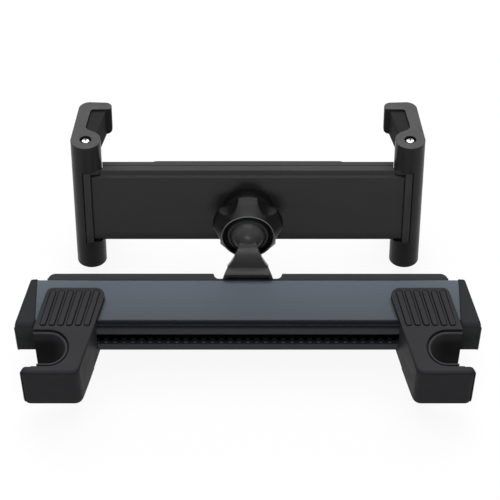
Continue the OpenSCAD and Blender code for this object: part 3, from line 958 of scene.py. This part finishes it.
def screw_form() -> Form:
    """The tree of a cross-recessed, domed screw on each seed point.

    Returns:
        The form.
    """
    labels = (
        "Head radius", "Head height", "Dome", "Recess width", "Recess span", "Recess depth",
        "Shank radius", "Shank length",
    )
    form = Form("cross_screws", {label: Form.FLOAT for label in labels})
    radius, height, dome, width, span, depth, shank_radius, length = map(form.size, labels)
    filled = {"fill_type": "NGON"}
    held = {
        "Vertices": 40, "Side Segments": 1, "Fill Segments": 6, "Radius": radius, "Depth": height,
    }
    blank = form.node("GeometryNodeMeshCylinder", filled, held)
    x, y, z = form.axes(form.node("GeometryNodeInputPosition"))
    across = (x * x + y * y) * form.maths("DIVIDE", 1.0, radius * radius)
    drop = form.vector(0.0, 0.0, across * dome * form.maths("GREATER_THAN", z, 0.0) * -1.0)
    domed = form.node("GeometryNodeSetPosition", None, {"Geometry": blank, "Offset": drop})
    cross = form.crossed(width, span, depth * 2.0, height)
    taken = {"operation": "DIFFERENCE", "solver": "EXACT"}
    held = {"Mesh 1": form.lifted(domed, height * 0.5), "Mesh 2": cross}
    head = form.node("GeometryNodeMeshBoolean", taken, held)
    held = {"Vertices": 20, "Radius": shank_radius, "Depth": length}
    shank = form.lifted(form.node("GeometryNodeMeshCylinder", filled, held), length * -0.5)
    form.close(form.on_seeds(form.joined([head, shank])), SCREW_STEEL)
    return form


def cross_form() -> Form:
    """The tree of a dark cross of painted shade at the ground of a screw's recess, on each seed
    point.

    Returns:
        The form.
    """
    labels = ("Width", "Span", "Foot", "Rise")
    form = Form("recess_crosses", {label: Form.FLOAT for label in labels})
    width, span, foot, rise = map(form.size, labels)
    cross = form.joined(form.crossed(width, span, rise, foot + rise * 0.5))
    form.close(form.on_seeds(cross), PAINTED_SHADE_BLACK)
    return form


def coil_form() -> Form:
    """The tree of a close-wound extension spring with a ring at each end, along Z.

    Returns:
        The form.
    """
    labels = ("Turns", "Coil radius", "Wire radius", "Length")
    form = Form("wound_spring", {label: Form.FLOAT for label in labels})
    turns, radius, wire_radius, length = map(form.size, labels)
    held = {
        "Resolution": 14, "Rotations": turns, "Start Radius": radius, "End Radius": radius,
        "Height": length,
    }
    spiral = form.node("GeometryNodeCurveSpiral", None, held)
    wire, ring = (
        form.node("GeometryNodeCurvePrimitiveCircle", None, {"Resolution": steps, "Radius": size})
        for steps, size in ((6, wire_radius), (20, radius))
    )
    held = {"Curve": spiral, "Profile Curve": wire, "Fill Caps": True}
    wound = form.node("GeometryNodeCurveToMesh", None, held)
    loop = form.node("GeometryNodeCurveToMesh", None, {"Curve": ring, "Profile Curve": wire})
    held = {"Geometry": loop, "Rotation": (math.radians(90.0), 0.0, 0.0)}
    upright = form.node("GeometryNodeTransform", None, held)
    # The rings reach a little into the coil's ends
    apart = radius * 0.9
    loops = [form.lifted(upright, at) for at in (apart * -1.0, length + apart)]
    form.close(form.on_seeds(form.joined([wound, *loops])), SCREW_STEEL)
    return form


def row_form(name: str, mode: str, finish: Finish) -> Form:
    """The tree of a row of upright or leaning bars, each an outline drawn out in thickness.

    Args:
        name: The tree's name.
        mode: PARALLELOGRAM for leaning bars, TRAPEZOID for bars with narrow tips.
        finish: The finish of the row.

    Returns:
        The form.
    """
    labels = ("Pitch", "Width", "Tip", "Long", "Lean", "Corner", "Thickness")
    form = Form(name, {"Count": Form.WHOLE, **{label: Form.FLOAT for label in labels}})
    pitch, width, tip, length, lean, corner, thick = map(form.size, labels)
    across = {
        "PARALLELOGRAM": {"Width": width},
        "TRAPEZOID": {"Bottom Width": width, "Top Width": tip},
    }
    held = {"Height": length, "Offset": lean, **across[mode]}
    outline = form.node("GeometryNodeCurvePrimitiveQuadrilateral", {"mode": mode}, held)
    held = {"Curve": outline, "Count": 4, "Radius": corner, "Limit Radius": True}
    eased = form.node("GeometryNodeFilletCurve", {"mode": "POLY"}, held)
    flat = form.node("GeometryNodeFillCurve", {"mode": "NGONS"}, {"Curve": eased})
    held = {"Mesh": flat, "Offset Scale": thick, "Individual": False}
    raised = form.node("GeometryNodeExtrudeMesh", {"mode": "FACES"}, held)
    under = form.node("GeometryNodeFlipFaces", None, {"Mesh": flat})
    held = {"Count": form.size("Count"), "Offset": form.vector(pitch, 0.0, 0.0)}
    row = form.node("GeometryNodeMeshLine", {"mode": "OFFSET"}, held)
    held = {"Points": row, "Instance": form.joined([raised, under])}
    form.close(form.node("GeometryNodeInstanceOnPoints", None, held), finish)
    return form


def lobe_form() -> Form:
    """The tree that presses round scallops into a turned blank, so that lobes stand between them.

    Returns:
        The form.
    """
    labels = ("Cut radius", "Cut distance", "Blend")
    form = Form("lobed_grip", {"Lobes": Form.WHOLE, **{label: Form.FLOAT for label in labels}})
    reach, away, blend = map(form.size, labels)
    x, y, z = form.axes(form.node("GeometryNodeInputPosition"))
    radius = (x * x + y * y) ** 0.5
    half = form.maths("DIVIDE", math.pi, form.size("Lobes"))
    angle = form.maths("ARCTAN2", y, x)
    # Two whole turns keep the angle above zero
    folded = form.maths("PINGPONG", angle + math.pi * 4.0 + half, half)
    side = away * form.maths("SINE", folded)
    ahead = away * form.maths("COSINE", folded)
    room = form.maths("MAXIMUM", reach * reach - side * side, 0.0)
    limit = ahead - room ** 0.5 + form.maths("GREATER_THAN", side, reach)
    pressed = form.maths("SMOOTH_MIN", radius, limit, blend)
    factor = form.maths("DIVIDE", pressed, form.maths("MAXIMUM", radius, WELD))
    outer = form.node("GeometryNodeInputNamedAttribute", {"data_type": "FLOAT"}, {"Name": "outer"})
    factor = (factor - 1.0) * outer + 1.0
    held = {"Geometry": form.size("Seeds"), "Position": form.vector(x * factor, y * factor, z)}
    form.close(form.node("GeometryNodeSetPosition", None, held), NUT_BLACK)
    return form


# Stage

WHITE = (1.0, 1.0, 1.0, 1.0)


def stand(obj: bpy.types.Object, spot: Vector, ahead: Vector) -> None:
    """Puts a camera or a lamp in the scene.

    Args:
        obj: The camera or lamp.
        spot: Where it stands, in metres.
        ahead: Where it looks.
    """
    obj.location = spot
    obj.rotation_mode = "QUATERNION"
    obj.rotation_quaternion = ahead.to_track_quat("-Z", "Y")
    bpy.context.scene.collection.objects.link(obj)


@dataclass(frozen=True)
class Lamp:
    """A soft area lamp that points at the mount, with its spot and size in metres."""

    name: str
    spot: Point
    size: tuple[float, float]
    watts: float
    target: Point = (0.0, 0.05, 0.0)

    def hang(self) -> None:
        """Hangs the lamp."""
        data = bpy.data.lights.new(self.name, "AREA")
        data.shape = "RECTANGLE"
        data.size, data.size_y = self.size
        data.energy = self.watts
        spot = Vector(self.spot)
        stand(bpy.data.objects.new(self.name, data), spot, Vector(self.target) - spot)


@dataclass
class Studio:
    """Camera, lamps, white backdrop and floor."""

    focal_px: float = 2300.0
    frame_px: float = 500.0
    sensor_mm: float = 36.0
    elevation: float = 57.5
    distance_m: float = 1.0455
    aim: Point = (0.00095, 0.0529, 0.0115)
    floor_z: float = -0.0252
    floor_half_m: float = 6.0
    floor_colour: float = 0.18
    floor_shown: float = 0.97
    floor_glow: float = 0.9
    world_level: float = 0.18
    lamps: tuple[Lamp, ...] = (
        Lamp("above", (0.0, 0.35, 1.1), (1.0, 0.8), 10.0),
        Lamp("behind", (0.0, 1.2, 0.6), (1.6, 0.5), 13.5),
        Lamp("left_strip", (-1.0, -0.3, 0.45), (0.1, 0.9), 1.0),
        Lamp("right_strip", (1.0, -0.3, 0.45), (0.1, 0.9), 1.0),
        Lamp("front", (0.0, -1.1, 0.45), (0.5, 0.35), 6.2),
    )

    def camera(self) -> None:
        """Sets the camera where the photographer stood."""
        data = bpy.data.cameras.new("photo_camera")
        data.sensor_width = self.sensor_mm
        data.lens = self.focal_px / self.frame_px * self.sensor_mm
        data.clip_start, data.clip_end = 0.05, 20.0
        e = math.radians(self.elevation)
        back = Vector((0.0, -math.cos(e), math.sin(e)))
        obj = bpy.data.objects.new("photo_camera", data)
        stand(obj, Vector(self.aim) + back * self.distance_m, -back)
        bpy.context.scene.camera = obj
        LOG.info("camera set")

    def world(self) -> None:
        """A world that shows white and lights the object at a plain level."""
        world = bpy.data.worlds.new("white_studio")
        bpy.context.scene.world = world
        world.use_nodes = True
        world.node_tree.nodes.clear()
        made = NodeTree(world.node_tree)
        lit, shown = (
            made.node("ShaderNodeBackground", None, {"Color": WHITE, "Strength": level})
            for level in (self.world_level, 1.0)
        )
        mix = made.node("ShaderNodeMixShader", None, {0: self.seen_by(made), 1: lit, 2: shown})
        made.node("ShaderNodeOutputWorld", None, {"Surface": mix})

    @staticmethod
    def seen_by(made: NodeTree) -> Wire:
        """One for rays that come from the camera, off a glossy surface or through glass.

        Args:
            made: The tree.

        Returns:
            The clamped sum.
        """
        rays = [
            made.node("ShaderNodeLightPath", output=kind)
            for kind in ("Is Camera Ray", "Is Glossy Ray", "Is Transmission Ray")
        ]
        total = rays[0] + rays[1] + rays[2]
        total.socket.node.use_clamp = True
        return total

    def floor(self) -> None:
        """A wide pale floor that shows white and keeps the soft shadow."""
        bm = bmesh.new()
        bmesh.ops.create_grid(bm, x_segments=1, y_segments=1, size=self.floor_half_m)
        obj = piece_from(bm, "floor", Matrix.Translation((0.0, 0.0, self.floor_z)))
        made = FinishTree("pale_floor")
        seen = self.seen_by(made)
        grey, pale = ((c, c, c, 1.0) for c in (self.floor_colour, self.floor_shown))
        matt = made.node("ShaderNodeBsdfDiffuse", None, {"Color": made.blend(seen, grey, pale)})
        glow = made.node("ShaderNodeEmission", None, {"Color": WHITE, "Strength": 1.0})
        held = {0: seen * self.floor_glow, 1: matt, 2: glow}
        mix = made.node("ShaderNodeMixShader", None, held)
        made.node("ShaderNodeOutputMaterial", None, {"Surface": mix})
        obj.data.materials.append(made.material)

    def build(self) -> None:
        """Builds the whole stage."""
        self.camera()
        self.world()
        for lamp in self.lamps:
            lamp.hang()
        self.floor()
        bpy.context.scene.view_settings.view_transform = "Standard"


# Sub-assemblies

# Overlap of pieces that stand on each other, and slack of a test of place
JOIN_MM = 0.02
MIRROR = Matrix.Diagonal((-1.0, 1.0, 1.0, 1.0))


@dataclass(frozen=True)
class Screw:
    """Sizes of a screw: radius and height of its head, radius and length of its shank."""

    head_mm: float
    rise_mm: float
    shank_mm: float
    long_mm: float


CAP_SCREW = Screw(2.1, 1.3, 1.2, 6.3)
ARM_SCREW = Screw(2.6, 1.4, 1.25, 4.5)
SHOE_SCREW = Screw(1.9, 1.5, 1.05, 6.5)
CUP_SCREW = Screw(1.5, 0.4, 0.8, 6.1)
DECK_SCREW = Screw(1.7, 0.8, 0.9, 5.3)
PIVOT_PIN = Screw(1.6, 1.35, 1.5, 33.7)


@dataclass
class Fasteners:
    """Every screw and pin head of the mount, grown from one form.

    The seats are in millimetres, those of the cup and the deck in the cradle's own frame.
    """

    form: Form
    # Form of the crosses of painted shade in the screw recesses
    crosses: Form
    dome_share: float = 0.3
    recess_width: float = 0.3
    recess_span: float = 1.25
    recess_depth: float = 0.6
    shade_mm: float = 0.03
    sunk_mm: float = 0.01
    cap_x: float = 97.4
    cap_rows: tuple[float, float] = (18.6, 32.0)
    cap_z: float = 5.6
    arm_seats: tuple[Point, ...] = ((5.8, 42.2, -2.0), (70.0, 39.2, -2.0))
    shoe_seats: tuple[Point, ...] = ((79.4, 13.0, -0.3), (75.3, 13.0, -0.3))
    cup_seat: Point = (6.5 * math.sqrt(0.5), 19.9, 6.5 * math.sqrt(0.5))
    deck_seat: Point = (36.0, 24.1, 18.2)

    def drive(
        self, node: str, name: str, seats: Sequence[tuple[Vector, Vector]], screw: Screw
    ) -> None:
        """Puts screws where a CAD node has them, with a dark cross of painted shade at the ground
        of each recess.

        Args:
            node: The CAD node that they stand for.
            name: Name of the piece.
            seats: Underside of each head in millimetres, and the way the head looks.
            screw: Sizes of each screw.
        """
        width, span = screw.head_mm * self.recess_width, screw.head_mm * self.recess_span
        ground = screw.rise_mm * (1.0 - self.recess_depth)
        steel = {
            "Head radius": screw.head_mm, "Head height": screw.rise_mm,
            "Dome": screw.rise_mm * self.dome_share, "Recess width": width, "Recess span": span,
            "Recess depth": screw.rise_mm * self.recess_depth,
            "Shank radius": screw.shank_mm, "Shank length": screw.long_mm,
        }
        # Painted shade: a dark cross a little smaller than the recess, sunk just under its ground
        shade = {
            "Width": width - 2 * self.shade_mm, "Span": span - 2 * self.shade_mm,
            "Foot": ground - self.sunk_mm, "Rise": ground,
        }
        for form, word, finish, sizes in (
            (self.form, name, SCREW_STEEL, steel),
            (self.crosses, f"{name}_recess", PAINTED_SHADE_BLACK, shade),
        ):
            obj = form.grow(word, point_seeds(seats), sizes)
            settle(obj, finish, body_of_node(node), (node,), 40.0)

    def build(self) -> None:
        """Builds all the fasteners."""
        out, back = Vector((1.0, 0.0, 0.0)), Vector((0.0, 1.0, 0.0))
        caps = [
            (Vector((s * self.cap_x, y, self.cap_z)), out * s)
            for s in (-1, 1) for y in self.cap_rows
        ]
        self.drive("cap_screws", "cap_fasteners", caps, CAP_SCREW)
        arm = [(Vector((s * x, y, z)), back) for x, y, z in self.arm_seats for s in (-1, 1)]
        self.drive("arm_screws", "arm_fasteners", arm, ARM_SCREW)
        for side in Side:
            word = side.word
            shoe = [(Vector((side.value * x, y, z)), back) for x, y, z in self.shoe_seats]
            self.drive(f"hook_{word}_screws", f"shoe_fasteners_{word}", shoe, SHOE_SCREW)
            pivot = [
                (in_cradle(side.value * PIVOT_X, PIVOT_Y, way * PIVOT_PIN.long_mm), CRADLE_UP * way)
                for way in (1, -1)
            ]
            self.drive(f"pivot_pin_{word}", f"pivot_fasteners_{word}", pivot, PIVOT_PIN)
        cup, deck = (
            [(in_cradle(sx * x, y, sz * z), CRADLE_OUT) for sx in (-1, 1) for sz in (-1, 1)]
            for x, y, z in (self.cup_seat, self.deck_seat)
        )
        self.drive("cup_screws", "cup_fasteners", cup, CUP_SCREW)
        self.drive("shell_screws", "shell_fasteners", deck, DECK_SCREW)


@dataclass
class Bar:
    """The bar: moulded channel, flat cover, rear strip, toothed strip and end caps."""

    first_mm: float = -92.0
    pitch_mm: float = 4.0
    teeth: int = 47
    slot_bottom_mm: float = -5.1
    tooth_tip_mm: float = -4.3
    tooth_mm: float = 2.6
    tooth_front_mm: float = 15.4
    tooth_deep_mm: float = 0.8
    mark_y_mm: float = 14.1

    def row(
        self, node: str, name: str, finish: Finish, sizes_mm: dict[str, float], place: Matrix
    ) -> None:
        """Builds a row of small upright forms, one to each tooth.

        Args:
            node: The CAD node that has them.
            name: Name of the piece.
            finish: Its finish.
            sizes_mm: Sizes of one form.
            place: Where the first one goes, in metres.
        """
        held = {"Pitch": self.pitch_mm, "Lean": 0.0, **sizes_mm}
        form = row_form(name, "TRAPEZOID", finish)
        obj = form.grow(name, bmesh.new(), held, {"Count": self.teeth})
        obj.data.transform(place)
        settle(obj, finish, "base", (node,))

    def teeth_row(self) -> None:
        """Builds the toothed strip: a plain rail with a row of teeth in front of it."""
        top = self.tooth_tip_mm - self.tooth_mm - JOIN_MM
        rail = solid_copy("rack_strip")
        cut_off(rail, top)
        break_edges(rail, EdgeBreak(0.12, 1))
        settle(piece_from(rail, "slot_rail"), SLOT_SHADE_NYLON, "base", ("rack_strip",))
        upright = Matrix.Rotation(math.radians(90.0), 4, "X")
        back = self.tooth_front_mm + self.tooth_deep_mm
        first = Matrix.Translation(Vector((self.first_mm, back, top + self.tooth_mm / 2)) * MM)
        tooth = {
            "Width": 2.8, "Tip": 1.8, "Long": self.tooth_mm, "Corner": 0.15,
            "Thickness": self.tooth_deep_mm,
        }
        self.row("rack_strip", "slot_teeth", SLOT_SHADE_NYLON, tooth, first @ upright)

    def scale_marks(self) -> None:
        """Builds pale marks along the slot's lower lip, one to each tooth, as painted highlights
        for the glints on the teeth.
        """
        first = Vector((self.first_mm, self.mark_y_mm, self.slot_bottom_mm)) * MM
        mark = {"Width": 1.3, "Tip": 1.3, "Long": 0.28, "Corner": 0.1, "Thickness": 0.05}
        self.row("bar_housing", "scale_marks", GLINT_GREY, mark, Matrix.Translation(first))

    def build(self) -> None:
        """Builds the bar's pieces."""
        moulded("bar_housing", "channel", CHANNEL_BLACK, (EdgeBreak(0.25),))
        moulded("cover_plate", "flat_cover", COVER_ALLOY)
        moulded("rear_plate", "rear_strip", BODY_BLACK)
        for side in Side:
            moulded(f"end_cap_{side.word}", f"cap_{side.word}", CAP_BLACK, (EdgeBreak(0.5, 3),))
        self.teeth_row()
        self.scale_marks()


@dataclass
class Hooks:
    """The two sliding hooks with their ribs, liners and shoes.

    The row of ribs starts from first_rib, an X and Y at the back, and leans from rib_axis_mm on.
    The edges of the front face that are rounded end at the X and Y of corner.
    """

    top_mm: float = 14.5
    rib_mm: float = 0.5
    rib_width: float = 2.3
    rib_ends: tuple[float, float] = (11.5, 29.2)
    rib_corner_mm: float = 0.6
    ribs_each: int = 6
    pitch_mm: float = 3.9
    groove_mm: float = 0.4
    ground_mm: float = 0.08
    cutter_mm: float = 2.0
    slant: float = 0.262
    lean_over_mm: float = 16.2
    first_rib: tuple[float, float] = (-86.3, 31.1)
    rib_axis_mm: float = 20.5
    front_round_mm: float = 1.9
    front_mm: float = -13.0
    corner: tuple[float, float] = (77.7, -9.9)
    rim_mm: float = 0.2
    post_x_mm: float = 88.2
    run_before: tuple[float, float] = (-7.0, -3.5)
    run_behind: tuple[float, float] = (-2.4, -4.8)
    liner_steps: int = 24

    def in_front(self, point: Vector) -> bool:
        """Whether a point in millimetres is on the outline of a hook's front face."""
        at_rim = abs(point.z) > self.top_mm - self.rim_mm and abs(point.x) < self.corner[0]
        return point.y < self.front_mm + JOIN_MM or (at_rim and point.y < self.corner[1])

    def row(
        self, side: Side, form: Form, name: str, grown: float, thick: float
    ) -> bpy.types.Object:
        """Grows a row of leaning bars where a hook's ribs stand, from the ground of the grooves.

        Args:
            side: Which hook.
            form: The form of a rib row.
            name: Name of the piece.
            grown: How far each bar goes beyond its rib's outline, in millimetres.
            thick: Height of the bars in millimetres.

        Returns:
            The row.
        """
        y0, y1 = self.rib_ends
        sizes = {
            "Pitch": self.pitch_mm, "Width": self.rib_width + 2 * grown, "Tip": 0.0,
            "Long": y1 - y0 + 2 * grown, "Lean": self.slant * self.lean_over_mm,
            "Corner": self.rib_corner_mm + grown, "Thickness": thick,
        }
        obj = form.grow(name, bmesh.new(), sizes, {"Count": self.ribs_each})
        x, y = self.first_rib
        x += self.slant * (self.rib_axis_mm - y)
        spot = Vector((x, (y0 + y1) / 2, self.top_mm - self.groove_mm))
        place = Matrix.Translation(spot * MM)
        with opened(obj) as bm:
            bmesh.ops.remove_doubles(bm, verts=bm.verts, dist=WELD)
            turned = MIRROR @ place if side is Side.RIGHT else place
            bmesh.ops.transform(bm, matrix=turned, verts=bm.verts)
            bmesh.ops.recalc_face_normals(bm, faces=bm.faces)
        return obj

    def shell(self, side: Side, form: Form) -> None:
        """Builds a hook's moulding, cut off under its ribs, with a narrow groove round each.

        Args:
            side: Which hook.
            form: The form of a rib row.
        """
        node = f"hook_{side.word}"
        bm = solid_copy(node)
        cut_off(bm, self.top_mm - JOIN_MM)
        break_edges(bm, EdgeBreak(self.front_round_mm, 5, 25.0, self.in_front))
        break_edges(bm, EdgeBreak(0.25, 2, 35.0))
        obj = piece_from(bm, f"grip_hook_{side.word}")
        cutter = self.row(side, form, "groove_cutter", self.groove_mm, self.cutter_mm)
        grooves = obj.modifiers.new("grooves", "BOOLEAN")
        grooves.operation, grooves.solver, grooves.object = "DIFFERENCE", "EXACT", cutter
        frozen(obj)
        bpy.data.objects.remove(cutter)
        settle(obj, HOOK_BLACK, body_of_node(node), (node,))

    def ribs(self, side: Side, form: Form) -> None:
        """Builds a hook's row of leaning grip ribs and a dark sheet of painted shade on the ground
        of their grooves.

        Args:
            side: Which hook.
            form: The form of a rib row.
        """
        word, node = side.word, f"hook_{side.word}"
        ribs = self.row(side, form, f"grip_ribs_{word}", 0.0, self.groove_mm + self.rib_mm)
        with opened(ribs) as bm:
            break_edges(bm, EdgeBreak(0.14, 2, 60.0, lambda p: p.z > self.top_mm))
        settle(ribs, HOOK_BLACK, body_of_node(node), (node,))
        # Painted shade: a dark sheet on the floor of the grooves round the ribs
        wide = self.groove_mm - JOIN_MM
        ground = self.row(side, form, f"groove_ground_{word}", wide, self.ground_mm)
        settle(ground, PAINTED_SHADE_BLACK, body_of_node(node), (node,))

    def liner(self, side: Side) -> None:
        """Builds a notch's liner, a bent rubber strip with a raised bead along the notch.

        Args:
            side: Which notch.
        """
        section = [
            (7.5, -13.7), (7.5, 13.2), (7.62, 13.55), (7.85, 13.75), (8.15, 13.8), (8.4, 13.68),
            (8.52, 13.4), (8.55, 12.9), (9.28, 12.9), (9.28, -13.7),
        ]
        # Straight runs before and behind the half turn round the post
        bend = range(self.liner_steps + 1)
        stations = [(along, 90.0) for along in self.run_before]
        stations += [(0.0, 90.0 - step * 180.0 / self.liner_steps) for step in bend]
        stations += [(along, -90.0) for along in self.run_behind]
        bm = bmesh.new()
        loops = []
        for along, angle in stations:
            cos, sin = math.cos(math.radians(angle)), math.sin(math.radians(angle))
            start = along - self.post_x_mm
            loops.append([
                bm.verts.new(Vector((start + r * cos, r * sin, z)) * MM) for r, z in section
            ])
        skin(bm, loops)
        for end in (loops[0], loops[-1]):
            bm.faces.new(end)
        node, flip = f"hook_{side.word}", MIRROR if side is Side.RIGHT else None
        obj = piece_from(bm, f"post_liner_{side.word}", flip)
        settle(obj, LINER_RUBBER, body_of_node(node), (f"{node}_liner",))

    def build(self) -> None:
        """Builds both hooks."""
        form = row_form("grip_ribs", "PARALLELOGRAM", HOOK_BLACK)
        for side in Side:
            word = side.word
            self.shell(side, form)
            self.ribs(side, form)
            self.liner(side)
            moulded(f"hook_{word}_shoe", f"rail_shoe_{word}", INNER_NYLON, (EdgeBreak(0.25),))


@dataclass
class BallJoint:
    """The flared arm with its ball, the friction rings, the socket and the lobed nut.

    The nut's scallops are cylinders of scallop_mm, whose axes stand off the nut's own.
    """

    lobes: int = 5
    start_deg: float = -90.0
    rounds: int = 230
    scallop_mm: float = 8.5
    scallop_from_axis_mm: float = 21.7
    blend_mm: float = 0.3

    def nut_blank(self) -> bmesh.types.BMesh:
        """The turned blank of the nut, whose grip is marked by the "outer" attribute.

        Returns:
            The blank, about Z.
        """
        mouth = [
            (11.35, -3.2), (11.45, -3.6), (11.7, -3.75), (11.95, -3.6), (12.05, -3.2),
            (12.3, -2.65),
        ]
        grip = [
            (12.65, -2.0), (13.05, -1.3), (13.5, -0.6), (14.0, 0.15), (14.55, 0.95), (15.05, 1.75),
            (15.5, 2.5), (15.78, 3.15), (15.9, 3.8), (15.9, 4.5), (15.9, 5.2), (15.86, 5.8),
            (15.7, 6.25), (15.3, 6.55), (14.6, 6.7),
        ]
        foot = [(13.7, 6.8), (13.42, 7.0), (13.4, 7.4), (13.38, 7.8), (13.2, 8.0), (12.4, 8.0)]
        inside = [(11.75, 8.0), (11.75, -0.9), (10.15, -0.95), (10.1, -1.7), (11.0, -1.8)]
        profile = [
            (spot, float(part is grip)) for part in (mouth, grip, foot, inside) for spot in part
        ]
        bm = bmesh.new()
        outer = bm.verts.layers.float.new("outer")
        rings = []
        for step in range(self.rounds):
            a = 2.0 * math.pi * step / self.rounds
            ring = []
            for (r, y), held in profile:
                vert = bm.verts.new(Vector((r * math.cos(a), r * math.sin(a), y)) * MM)
                vert[outer] = held
                ring.append(vert)
            rings.append(ring)
        skin(bm, [*rings, rings[0]])
        return bm

    def nut(self) -> None:
        """Builds the nut: a turned blank whose outside is pressed into lobes."""
        sizes = {
            "Cut radius": self.scallop_mm, "Cut distance": self.scallop_from_axis_mm,
            "Blend": self.blend_mm,
        }
        obj = lobe_form().grow("lobed_nut", self.nut_blank(), sizes, {"Lobes": self.lobes})
        upright = Matrix.Rotation(math.radians(-90.0), 4, "X")
        start = Matrix.Rotation(math.radians(self.start_deg), 4, "Z")
        obj.data.transform(CRADLE @ upright @ start)
        with opened(obj) as bm:
            bmesh.ops.recalc_face_normals(bm, faces=bm.faces)
        settle(obj, NUT_BLACK, "nut", ("clamp_nut",), 50.0)

    def build(self) -> None:
        """Builds the joint's pieces."""
        arm = solid_copy("ball_arm")
        break_edges(arm, EdgeBreak(0.2, 2, 40.0))
        settle(piece_from(arm, "flared_arm"), ARM_BLACK, "base", ("ball_arm",), 30.0)
        self.nut()
        moulded("socket_cup", "socket", PAINTED_SHADE_BLACK, (EdgeBreak(0.12, 1, 40.0),))
        dress("slip_ring", LIT_RING_NYLON)
        dress("ball_seat", LIT_RING_NYLON)


@dataclass
class Cradle:
    """The cradle: housing halves, far pad, slide arms, drive and jaws.

    A claw is what lies past the three lengths of barrel: inwards, away from the seat, and up.
    """

    spring_turns: float = 34.0
    spring_mm: float = 34.4
    coil_mm: float = 1.2
    wire_mm: float = 0.32
    spring_x_mm: float = 47.0
    spring_y_mm: float = 21.9
    barrel: tuple[float, float, float] = (73.0, 30.0, 20.0)

    def in_claw(self, point: Vector) -> bool:
        """Whether a point is on a claw, outside the pivot's barrel.

        Args:
            point: The point in millimetres.

        Returns:
            True on the claw.
        """
        local = point - BALL_CENTRE
        side, out, up = self.barrel
        far, high = local.dot(CRADLE_OUT), abs(local.dot(CRADLE_UP))
        return abs(local.x) < side and far > out and high > up

    def springs(self) -> None:
        """Builds the two return springs."""
        form = coil_form()
        sizes = {"Coil radius": self.coil_mm, "Wire radius": self.wire_mm, "Length": self.spring_mm}
        for side in Side:
            spot = in_cradle(side.value * self.spring_x_mm, self.spring_y_mm, 0.0)
            seeds = point_seeds([(spot, Vector((-float(side.value), 0.0, 0.0)))])
            obj = form.grow(f"coil_{side.word}", seeds, sizes, {"Turns": self.spring_turns})
            node = f"return_spring_{side.word}"
            settle(obj, SCREW_STEEL, body_of_node(node), (node,), 60.0)

    def build(self) -> None:
        """Builds the cradle's pieces."""
        moulded("rear_shell", "raised_shell", CRADLE_BLACK, (EdgeBreak(0.45, 3),))
        moulded("front_shell", "far_shell", CRADLE_BLACK)
        moulded("far_pad", "far_side_pad", PAD_RUBBER, (EdgeBreak(0.5, 3),))
        dress("pinion_pin", SCREW_STEEL)
        dress("pinion", INNER_NYLON)
        self.springs()
        claw = (EdgeBreak(0.9, 3, 26.0, self.in_claw, CRADLE_UP), EdgeBreak(0.15, 1, 40.0))
        for side in Side:
            word = side.word
            column = (EdgeBreak(0.12, 1, 50.0),)
            moulded(f"slide_arm_{word}", f"column_{word}", COLUMN_BLACK, column)
            moulded(f"jaw_{word}", f"claw_{word}", JAW_BLACK, claw)
            moulded(f"jaw_{word}_pads", f"claw_pads_{word}", PAD_RUBBER, (EdgeBreak(0.25),))


def main() -> None:
    """Builds the stage and every sub-assembly."""
    logging.basicConfig(level=logging.INFO, format="%(name)s %(message)s")
    bpy.context.view_layer.update()
    Studio().build()
    Bar().build()
    Hooks().build()
    BallJoint().build()
    Cradle().build()
    Fasteners(screw_form(), cross_form()).build()
    bpy.context.view_layer.update()


if __name__ == "__main__":
    main()
